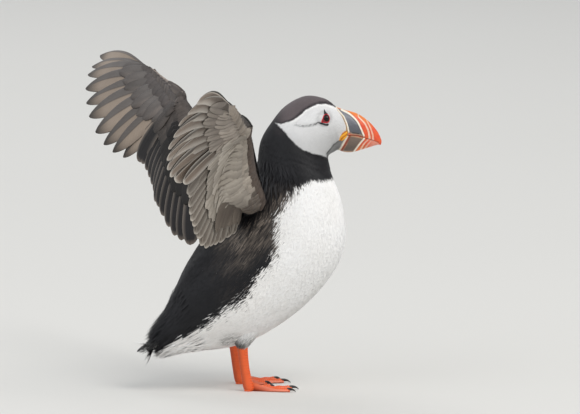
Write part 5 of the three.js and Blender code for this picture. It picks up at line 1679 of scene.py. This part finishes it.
class PUFFIN_OT_bill(bpy.types.Operator):
    """Both halves of the bill, the soft rim at its base and the folded rosettes at the mouth's corners"""
    bl_idname = "puffin.bill"
    bl_label = "Bill"

    def execute(self, context):
        bill_half_piece(True)
        bill_half_piece(False)
        self.rim()
        for key, side in SIDES.items():
            self.rosette(key, side)
        return {"FINISHED"}

    def rim(self):
        """The soft rim: a low rounded tube over the bill's base from one mouth corner to the other, beaded as
        a sine and thinner at its ends."""
        cream, tan = hue("bill", "cream"), paint("b88f68")
        z = np.linspace(207.4, 227.2, 60)
        u = bill_base_u(z) + 0.8
        v = np.maximum(bill_half(True, u, z), head_side(u, z, head_side_table()) * 0.98)
        v = np.convolve(np.pad(v, 6, mode="edge"), np.ones(13) / 13, "valid")
        v = v * np.clip((228.2 - z) / 3, 0, 1) ** 0.5
        near = np.stack([u, -v, z], -1)
        path = np.concatenate([near, near[::-1] * [1, -1, 1]])
        run = unit(np.gradient(path, axis=0))
        out = unit((path - [70, 0, 212]) * [0.15, 1, 1])
        across = unit(np.cross(run, out))
        out = unit(np.cross(across, run))
        place = np.arange(len(path))
        ends = np.minimum(1, np.minimum(place, place[::-1]) / 5 + 0.3)
        bead = 1 + 0.05 * np.sin(place * 1.9)
        rings = swept(path, across, out, 0.82 * ends * bead, 0.7 * ends)
        toward_face = (rings - path[:, None])[..., :1]
        tone = mix(cream * np.ones((*rings.shape[:2], 3)), tan, ease(-0.1, -0.55, toward_face) * 0.85)
        tube_piece("bill_soft_rim", turned(rings), tone, "bill_rim", shared(soft_skin), ["bill_cere"])

    def rosette(self, key, side):
        """A leaning lobe: an ellipsoid whose radius has folds running round its mouth corner as sines."""
        theta = np.linspace(0.04, math.pi - 0.04, 60)[:, None]
        psi = ring_angles(90)[None]
        long, wide, tall = ROSETTE_RADII
        lobe = 1 + 0.10 * np.cos(2 * psi) * np.sin(theta)
        x = np.cos(theta) * lobe
        y = np.sin(theta) * np.cos(psi) * lobe
        z = np.sin(theta) * np.sin(psi) * lobe
        bend = 0.35 * x ** 2
        folds = np.sin((z + bend) * 6.8 + 0.9 * np.sin(x * 2.3))
        deep = 0.09 * folds * np.clip(y * 1.3 + 0.3, 0, 1)
        puff = 1 + deep + 0.02 * np.sin(x * 13 + z * 4)
        x, y, z = x * puff * long, y * puff * wide, z * puff * tall
        c, d = math.cos(ROSETTE_TILT), math.sin(ROSETTE_TILT)
        rings = turned(np.stack([ROSETTE_AT[0] + x * c - z * d, (ROSETTE_AT[1] + y) * side,
                                 ROSETTE_AT[2] + x * d + z * c], -1))
        # painted shade in the hollows of the folds and painted light on their crests
        tone = mix(hue("bill", "rosette"), paint("a84a14"), ease(0.1, -0.9, folds)[..., None] * 0.75)
        tone = mix(tone, paint("f7c244"), ease(0.4, 1.0, folds)[..., None] * 0.35)
        tube_piece(f"mouth_rosette_{key}", rings, tone, "gape_skin", shared(soft_skin), [f"rosette_{key}"])


# ------------------------------------------------------------------ eyes

EYE_MIDDLE = np.array([59.0, 220.3])
LID_OUTLINE = EYE_MIDDLE + [[-0.2, 3.1], [1.7, 2.3], [2.75, -0.2], [2.2, -2.8], [0.8, -3.7], [-1.9, -3.2],
                            [-3.6, -2.8], [-2.7, -0.4], [-1.7, 2.0]]
UPPER_EYE_PLATE = EYE_MIDDLE + [[-1.4, 3.1], [-1.6, 4.8], [-1.5, 6.8], [-0.6, 5.4], [0.5, 4.2], [1.3, 3.2]]
LOWER_EYE_BAR = EYE_MIDDLE + [[-6.4, -3.7], [-3.9, -3.3], [-2.2, -3.8], [0.8, -4.8], [2.1, -4.4],
                              [1.7, -6.0], [0, -5.9], [-3.0, -4.9]]


def loop_curve(outline, count):
    """A closed smooth curve through the outline's corners."""
    rows = np.concatenate([outline[-2:], outline, outline[:3]])
    return spline(rows, 2 + np.arange(count) / count * len(outline))


def pillow(outline, thickness, side, table, count=60, rows=9):
    """A cushion-like plate on the side of the head: copies of the outline drawn in toward its middle, raised
    as thickness * (1 - q^3)^0.5, with its underside a little way in the skin."""
    edge = loop_curve(outline, count)
    middle = edge.mean(0)
    q = np.concatenate([np.linspace(0.1, 1, rows), [1.0, 0.5]])
    flat = middle + (edge - middle) * q[:, None, None]
    u, z = flat[..., 0], flat[..., 1]
    lift = thickness * (1 - np.clip(q, 0, 1) ** 3) ** 0.5
    lift[-2:] = [-0.5, -0.6]
    v = head_side(u, z, table) + lift[:, None]
    return turned(np.stack([u, v * side, z], -1))


class PUFFIN_OT_eyes(bpy.types.Operator):
    """Eyeballs with pupil and iris, red lid edges and the horny plates above and below them"""
    bl_idname = "puffin.eyes"
    bl_label = "Eyes"

    def execute(self, context):
        table = head_side_table()
        horn = shared(eye_plate_horn)
        for key, side in SIDES.items():
            self.ball(key, side)
            self.lid(key, side, table)
            for name, outline, thick, tint, finish in (
                    ("eye_upper_plate", UPPER_EYE_PLATE, 0.6, hue("eyes", "plate"), horn),
                    ("eye_lower_bar", LOWER_EYE_BAR, 0.7, hue("eyes", "plate"), horn),
                    ("eye_inner_lid", LID_OUTLINE, 0.1, hue("eyes", "lid_red") * 0.3, shared(soft_skin))):
                points, faces = lofted(pillow(outline, thick, side, table))
                tone = tint * (0.9 + 0.2 * ripple(points, 1.5, 51)[:, None])
                new_piece(f"{name}_{key}", points, faces, np.clip(tone, 0, 1), "eye", material=finish)
        return {"FINISHED"}

    def ball(self, key, side):
        """The eyeball: a sphere round the side-to-side line, 5% proud in front, dark outside the iris."""
        theta = np.linspace(0.02, math.pi - 0.02, 56)[:, None]
        psi = ring_angles(64)[None]
        radius = EYE_RADIUS * (1 + 0.05 * np.exp(-(theta / 0.55) ** 2))
        rings = turned(np.stack([EYE_DESIGN[0] + radius * np.sin(theta) * np.cos(psi),
                                 side * (EYE_DESIGN[1] + radius * np.cos(theta) + psi * 0),
                                 EYE_DESIGN[2] + radius * np.sin(theta) * np.sin(psi)], -1))
        reach = EYE_RADIUS * np.sin(np.minimum(theta, math.pi / 2))
        pupil, iris = size("eyes", "pupil"), hue("eyes", "iris")
        ringed = ease(pupil - 0.06, pupil + 0.06, reach)
        tone = mix(paint("050505"), iris, ringed[..., None]) * np.ones((*rings.shape[:2], 1))
        tone = mix(tone, paint("0c0a0a"), ease(2.7, 3.3, reach)[..., None])
        tube_piece(f"eyeball_{key}", rings, tone, "eye", shared(eye_finish), [f"eye_{key}"])

    def lid(self, key, side, table):
        """The red lid edge: a closed beaded tube round the eye's outline, on the ball and the skin."""
        count, ring = 140, 12
        flat = loop_curve(LID_OUTLINE, count)
        u, z = flat[:, 0], flat[:, 1]
        from_eye = np.hypot(u - EYE_DESIGN[0], z - EYE_DESIGN[2])
        on_ball = EYE_DESIGN[1] + np.sqrt(np.maximum(EYE_RADIUS ** 2 - from_eye ** 2, 0))
        v = np.maximum(on_ball, head_side(u, z, table)) + 0.05
        v = (v + np.roll(v, 1) + np.roll(v, -1) + np.roll(v, 3) + np.roll(v, -3)) / 5
        path = np.stack([u, v, z], -1)
        run = unit(np.roll(path, -1, 0) - np.roll(path, 1, 0))
        out = np.broadcast_to(np.array([0.0, 1.0, 0.0]), path.shape)
        across = unit(np.cross(run, out))
        bead = 1 + 0.10 * np.sin(np.arange(count) / count * 2 * math.pi * 26)
        thick = size("eyes", "lid") * 0.85 * bead
        tube = turned(swept(path, across, out, thick, thick * 0.9, ring=ring) * [1, side, 1])
        index = np.arange(count)[:, None] * ring
        after = (np.arange(count)[:, None] + 1) % count * ring
        k, next_k = np.arange(ring)[None], (np.arange(ring)[None] + 1) % ring
        quads = np.stack([index + k, index + next_k, after + next_k, after + k], -1).reshape(-1, 4)
        points = tube.reshape(-1, 3)
        tone = hue("eyes", "lid_red") * (1 + 0.12 * np.repeat(np.sin(np.arange(count) * 1.17), ring))[:, None]
        new_piece(f"eye_lid_edge_{key}", points, outward(points, [quads]), np.clip(tone, 0, 1), "eye",
                  material=shared(soft_skin))


# ------------------------------------------------------------------ legs

def toe_reach(angle):
    """How far the foot's rim lies from the ankle at each angle."""
    stops = sorted((math.radians(turn), length) for turn, length, _ in TOES.values())
    turns = np.array([k[0] for k in stops])
    lengths = np.array([k[1] for k in stops])
    reach = np.full(angle.shape, float(HEEL_RADIUS))
    between = (angle >= turns[0]) & (angle <= turns[-1])
    index = np.clip(np.searchsorted(turns, angle) - 1, 0, 1)
    t = np.clip((angle - turns[index]) / (turns[index + 1] - turns[index]), 0, 1)
    web = mix(lengths[index], lengths[index + 1], t) * (1 - 0.2 * np.sin(math.pi * t) ** 0.6)
    reach = np.where(between, web, reach)
    for turn, length in stops:
        off = np.abs(angle - turn) / math.radians(6)
        toe = length * (1 - 0.16 * np.minimum(off, 1) ** 2.5)
        reach = np.where(off < 1, np.maximum(reach, toe), reach)
    return reach


def foot_angles():
    """Directions round the ankle, close together over the toes."""
    front = np.radians(np.linspace(-27, 37, 300))
    back = np.radians(np.linspace(37, 333, 61)[1:-1])
    return np.concatenate([front, back])


class PUFFIN_OT_legs(bpy.types.Operator):
    """Scaled legs, webbed feet and claws"""
    bl_idname = "puffin.legs"
    bl_label = "Legs"

    def execute(self, context):
        for key, side in SIDES.items():
            self.tarsus(key, side)
            self.foot(key, side)
            for toe, (turn, length, reach) in TOES.items():
                self.claw(key, side, toe, math.radians(turn), length, reach)
        return {"FINISHED"}

    def tarsus(self, key, side):
        """An upright oval tube through TARSUS_RINGS: broad scutes down its front as stepped plates, and small
        rounded scales behind as a product of sines."""
        t = np.linspace(0, 1, 150)
        psi = ring_angles(72)
        x, z, long, wide = np.moveaxis(along(TARSUS_RINGS, t), -1, 0)
        front = ease(0.2, 0.75, np.cos(psi))[None]
        plate = (z[:, None] / size("legs", "scale_size") + 0.08 * np.cos(psi * 2)[None]) % 1
        step = 0.28 * plate ** 0.6 - 0.32 * np.exp(-(np.minimum(plate, 1 - plate) / 0.09) ** 2)
        grain = np.sin(z[:, None] * 5.2) * np.sin(psi * 15)[None]
        raised = front * step * 0.75 + (1 - front) * 0.1 * grain
        calm = ease(0, 0.06, t)[:, None]
        rings = np.stack([x[:, None] + np.cos(psi) * (long[:, None] + raised * calm),
                          side * (LEG_SPREAD + np.sin(psi) * (wide[:, None] + raised * calm)),
                          np.broadcast_to(z[:, None], raised.shape)], -1)
        orange, red, dark = hue("legs", "orange"), paint("a32a16"), paint("5b1d14")
        tone = mix(orange, red, np.clip(front * np.exp(-(np.minimum(plate, 1 - plate) / 0.11) ** 2)
                                        + (1 - front) * ease(0.1, -0.7, grain) * 0.5, 0, 1)[..., None] * 0.6)
        tone = mix(tone, dark, (ease(0.1, 0.95, -np.cos(psi))[None] * 0.35)[..., None])
        tube_piece(f"leg_{key}", rings, tone, "leg_skin", shared(leg_skin), [f"tarsus_{key}"])

    def foot(self, key, side):
        """A webbed foot: from the ankle's middle out to its rim and back under it. A toe's ridge falls off
        across it as exp(-(x / width)^2), with low knuckles and scutes along it; webs lie flat between."""
        angle = foot_angles()
        reach = toe_reach(angle)
        rows_above = 64
        q = np.concatenate([np.linspace(0.02, 1, rows_above), [1.0], np.linspace(0.99, 0.05, 6)])
        under = np.arange(len(q)) >= rows_above
        r = q[:, None] * reach[None]
        ridge = np.zeros(r.shape)
        lines = np.zeros(r.shape)
        knuckles = np.zeros(r.shape)
        for turn, length, _ in TOES.values():
            off = angle[None] - math.radians(turn)
            across = r * np.sin(off)
            ahead = (r * np.cos(off) > 0) & (np.abs(off) < 1.2)
            here = np.exp(-(across / 1.75) ** 2) * ahead
            ridge = np.maximum(ridge, here)
            place = (r / 1.75) % 1
            lines = np.maximum(lines, here ** 0.7 * np.exp(-(np.minimum(place, 1 - place) / 0.13) ** 2))
            for share in (0.42, 0.7, 0.93):
                knuckles = np.maximum(knuckles, here * bump_at(r, length * share, 2.0))
        rise = np.exp(-(r / 8.5) ** 2) * mix(0.3, 1.0, ease(0.1, 0.7, np.cos(angle)))[None]
        top = np.maximum(mix(1.5, 3.3, ridge), ANKLE_TOP * rise)
        wrinkle = np.sin(r * 2.2 + 1.5 * np.sin(angle[None] * 9)) * np.sin(angle[None] * 60) * (1 - ridge)
        top = top + 0.45 * knuckles - 0.28 * lines + 0.07 * wrinkle * ease(5, 9, r)
        rim = ease(1.0, 0.9, q)[:, None]
        top = mix(0.8, top, rim * 0.45 + 0.55)
        pad = np.where((ridge > 0.5) | (r < HEEL_RADIUS), 0.0, 0.6)
        z = np.where(under[:, None], pad, top)
        rings = np.stack([ANKLE_X + r * np.cos(angle), side * (LEG_SPREAD - r * np.sin(angle)), z], -1)
        orange, web, red = hue("legs", "orange"), hue("legs", "web"), paint("9c2413")
        tone = mix(web * np.ones((*r.shape, 3)), orange,
                   ease(0.15, 0.7, np.maximum(ridge, ease(6.5, 4.5, r)))[..., None])
        # the scutes' own dark joints, with painted shade in the troughs of the web's wrinkles
        joints_and_crease_shade = lines * 0.6 + 0.12 * ease(0.2, -0.8, wrinkle) * (1 - ridge)
        tone = mix(tone, red, np.clip(joints_and_crease_shade, 0, 1)[..., None])
        # painted shade along the foot of each toe's ridge, where it meets the web
        tone = mix(tone, red, (bump_at(ridge, 0.25, 0.2) * ease(4, 8, r))[..., None] * 0.12)
        tube_piece(f"webbed_foot_{key}", rings, tone, "leg_skin", shared(leg_skin), [f"foot_{key}"])

    def claw(self, key, side, toe, turn, length, reach):
        """A claw: an oval tube along an arc that turns down by its bend, its radius closing as 1 - t^1.3."""
        t = np.linspace(0, 0.97, 28)
        bend = math.radians(58) * t
        run = length - 2.0 + reach * np.sin(bend) / math.radians(58) * 1.1
        z = 2.1 + 0.5 * np.sin(t * math.pi) - reach * (1 - np.cos(bend)) / math.radians(58) * 0.55
        z = np.maximum(z, 0.35 * (1 - t) + 0.15)
        radius = 1.35 * (1 - t ** 1.3) + 0.06
        heading = np.array([math.cos(turn), -side * math.sin(turn), 0])
        sideways = np.array([math.sin(turn), side * math.cos(turn), 0])
        path = np.array([ANKLE_X, side * LEG_SPREAD, 0]) + run[:, None] * heading + z[:, None] * [0, 0, 1]
        along_path = unit(np.gradient(path, axis=0))
        up = np.cross(np.broadcast_to(sideways, along_path.shape), along_path)
        up = up * np.sign(up[:, 2:] + 1e-9)
        rings = swept(path, np.broadcast_to(sideways, up.shape), up, radius * 0.8, radius, ring=18)
        rings[..., 2] = np.maximum(rings[..., 2], 0.02)
        tone = mix(paint("4a3f38"), hue("legs", "claw"), ease(0, 0.3, t)[:, None])[:, None]
        tone = tone * np.ones((1, 18, 1))
        tube_piece(f"claw_{toe}_{key}", rings, tone, "horn", shared(claw_horn), [f"claw_{key}_{toe}"])


# ------------------------------------------------------------------ studio

class PUFFIN_OT_stage(bpy.types.Operator):
    """Pale floor, soft light and the camera"""
    bl_idname = "puffin.stage"
    bl_label = "Studio"

    def execute(self, context):
        scene = context.scene
        studio = setting("studio")
        radii = np.array([0.5, 2, 8, 24, 60])[:, None]
        around = 72
        psi = ring_angles(around)[None]
        points = np.stack([radii * np.cos(psi), radii * np.sin(psi), radii * 0 * psi], -1).reshape(-1, 3)
        k = np.arange(around)
        row = np.arange(len(radii) - 1)[:, None] * around
        after = (k + 1) % around
        quads = np.stack([row + k, row + around + k, row + around + after, row + after], -1).reshape(-1, 4)
        mesh = bpy.data.meshes.new("studio_floor")
        mesh.from_pydata(points.tolist(), [], quads.tolist() + [list(range(around))])
        mesh.materials.append(floor_finish())
        floor = bpy.data.objects.new("studio_floor", mesh)
        scene.collection.objects.link(floor)

        def lamp(name, place, aim, across, power, colour):
            light = bpy.data.lights.new(name, "AREA")
            light.shape = "DISK"
            light.size = across
            light.energy = power
            light.color = colour
            made = bpy.data.objects.new(name, light)
            made.location = place
            made.rotation_mode = "QUATERNION"
            made.rotation_quaternion = (Vector(aim) - Vector(place)).to_track_quat("-Z", "Y")
            scene.collection.objects.link(made)

        lamp("key_light", (1.6, -2.2, 3.4), (0, 0, 0.15), 3.0, studio.key_power, (1.0, 0.98, 0.95))
        lamp("fill_light", (-2.6, -1.2, 2.2), (0, 0, 0.15), 3.0, studio.key_power * 0.25, (0.95, 0.97, 1.0))
        lamp("back_light", (-0.6, 3.0, 2.8), (0, 0, 0.15), 2.5, studio.key_power * 0.3, (1.0, 1.0, 1.0))
        world = bpy.data.worlds.new("studio_sky")
        world.use_nodes = True
        world.node_tree.nodes["Background"].inputs[0].default_value = (0.95, 0.97, 1.0, 1)
        world.node_tree.nodes["Background"].inputs[1].default_value = studio.sky
        scene.world = world
        scene.view_settings.view_transform = "Standard"

        turn, tilt = studio.turn, studio.height
        right = np.array([math.cos(turn), -math.sin(turn), 0])
        ahead = np.array([math.sin(turn) * math.cos(tilt), math.cos(turn) * math.cos(tilt), -math.sin(tilt)])
        up = np.cross(right, ahead)
        aim = (29.48 * right + 145.8 * up + WORLD_SHIFT) * MM
        camera = bpy.data.objects.new("camera", bpy.data.cameras.new("camera"))
        camera.data.lens = studio.lens
        camera.data.sensor_width = 36
        camera.data.clip_end = 200
        camera.rotation_mode = "QUATERNION"
        camera.rotation_quaternion = Matrix((right, up, -ahead)).transposed().to_quaternion()
        camera.location = aim - ahead * studio.distance
        scene.collection.objects.link(camera)
        scene.camera = camera
        return {"FINISHED"}


# ------------------------------------------------------------------ add-on

OPERATORS = (PUFFIN_OT_stage, PUFFIN_OT_skin, PUFFIN_OT_coat, PUFFIN_OT_wings, PUFFIN_OT_tail, PUFFIN_OT_bill,
             PUFFIN_OT_eyes, PUFFIN_OT_legs)


class PUFFIN_PT_panel(bpy.types.Panel):
    """Lists the pieces and their settings"""
    bl_idname = "PUFFIN_PT_panel"
    bl_label = "Puffin"
    bl_space_type = "VIEW_3D"
    bl_region_type = "UI"
    bl_category = "Puffin"

    def draw(self, context):
        for kind in OPERATORS:
            self.layout.operator(kind.bl_idname)
        for group in SETTINGS:
            box = self.layout.box()
            box.label(text=group.title())
            for name in SETTINGS[group].__annotations__:
                box.prop(setting(group), name)


def register():
    for kind in (*SETTINGS.values(), *OPERATORS, PUFFIN_PT_panel):
        bpy.utils.register_class(kind)
    for group, kind in SETTINGS.items():
        setattr(bpy.types.Scene, "puffin_" + group, PointerProperty(type=kind))


def unregister():
    for group in SETTINGS:
        delattr(bpy.types.Scene, "puffin_" + group)
    for kind in reversed((*SETTINGS.values(), *OPERATORS, PUFFIN_PT_panel)):
        bpy.utils.unregister_class(kind)


def main():
    register()
    for kind in OPERATORS:
        package, name = kind.bl_idname.split(".")
        getattr(getattr(bpy.ops, package), name)()


if __name__ == "__main__":
    main()
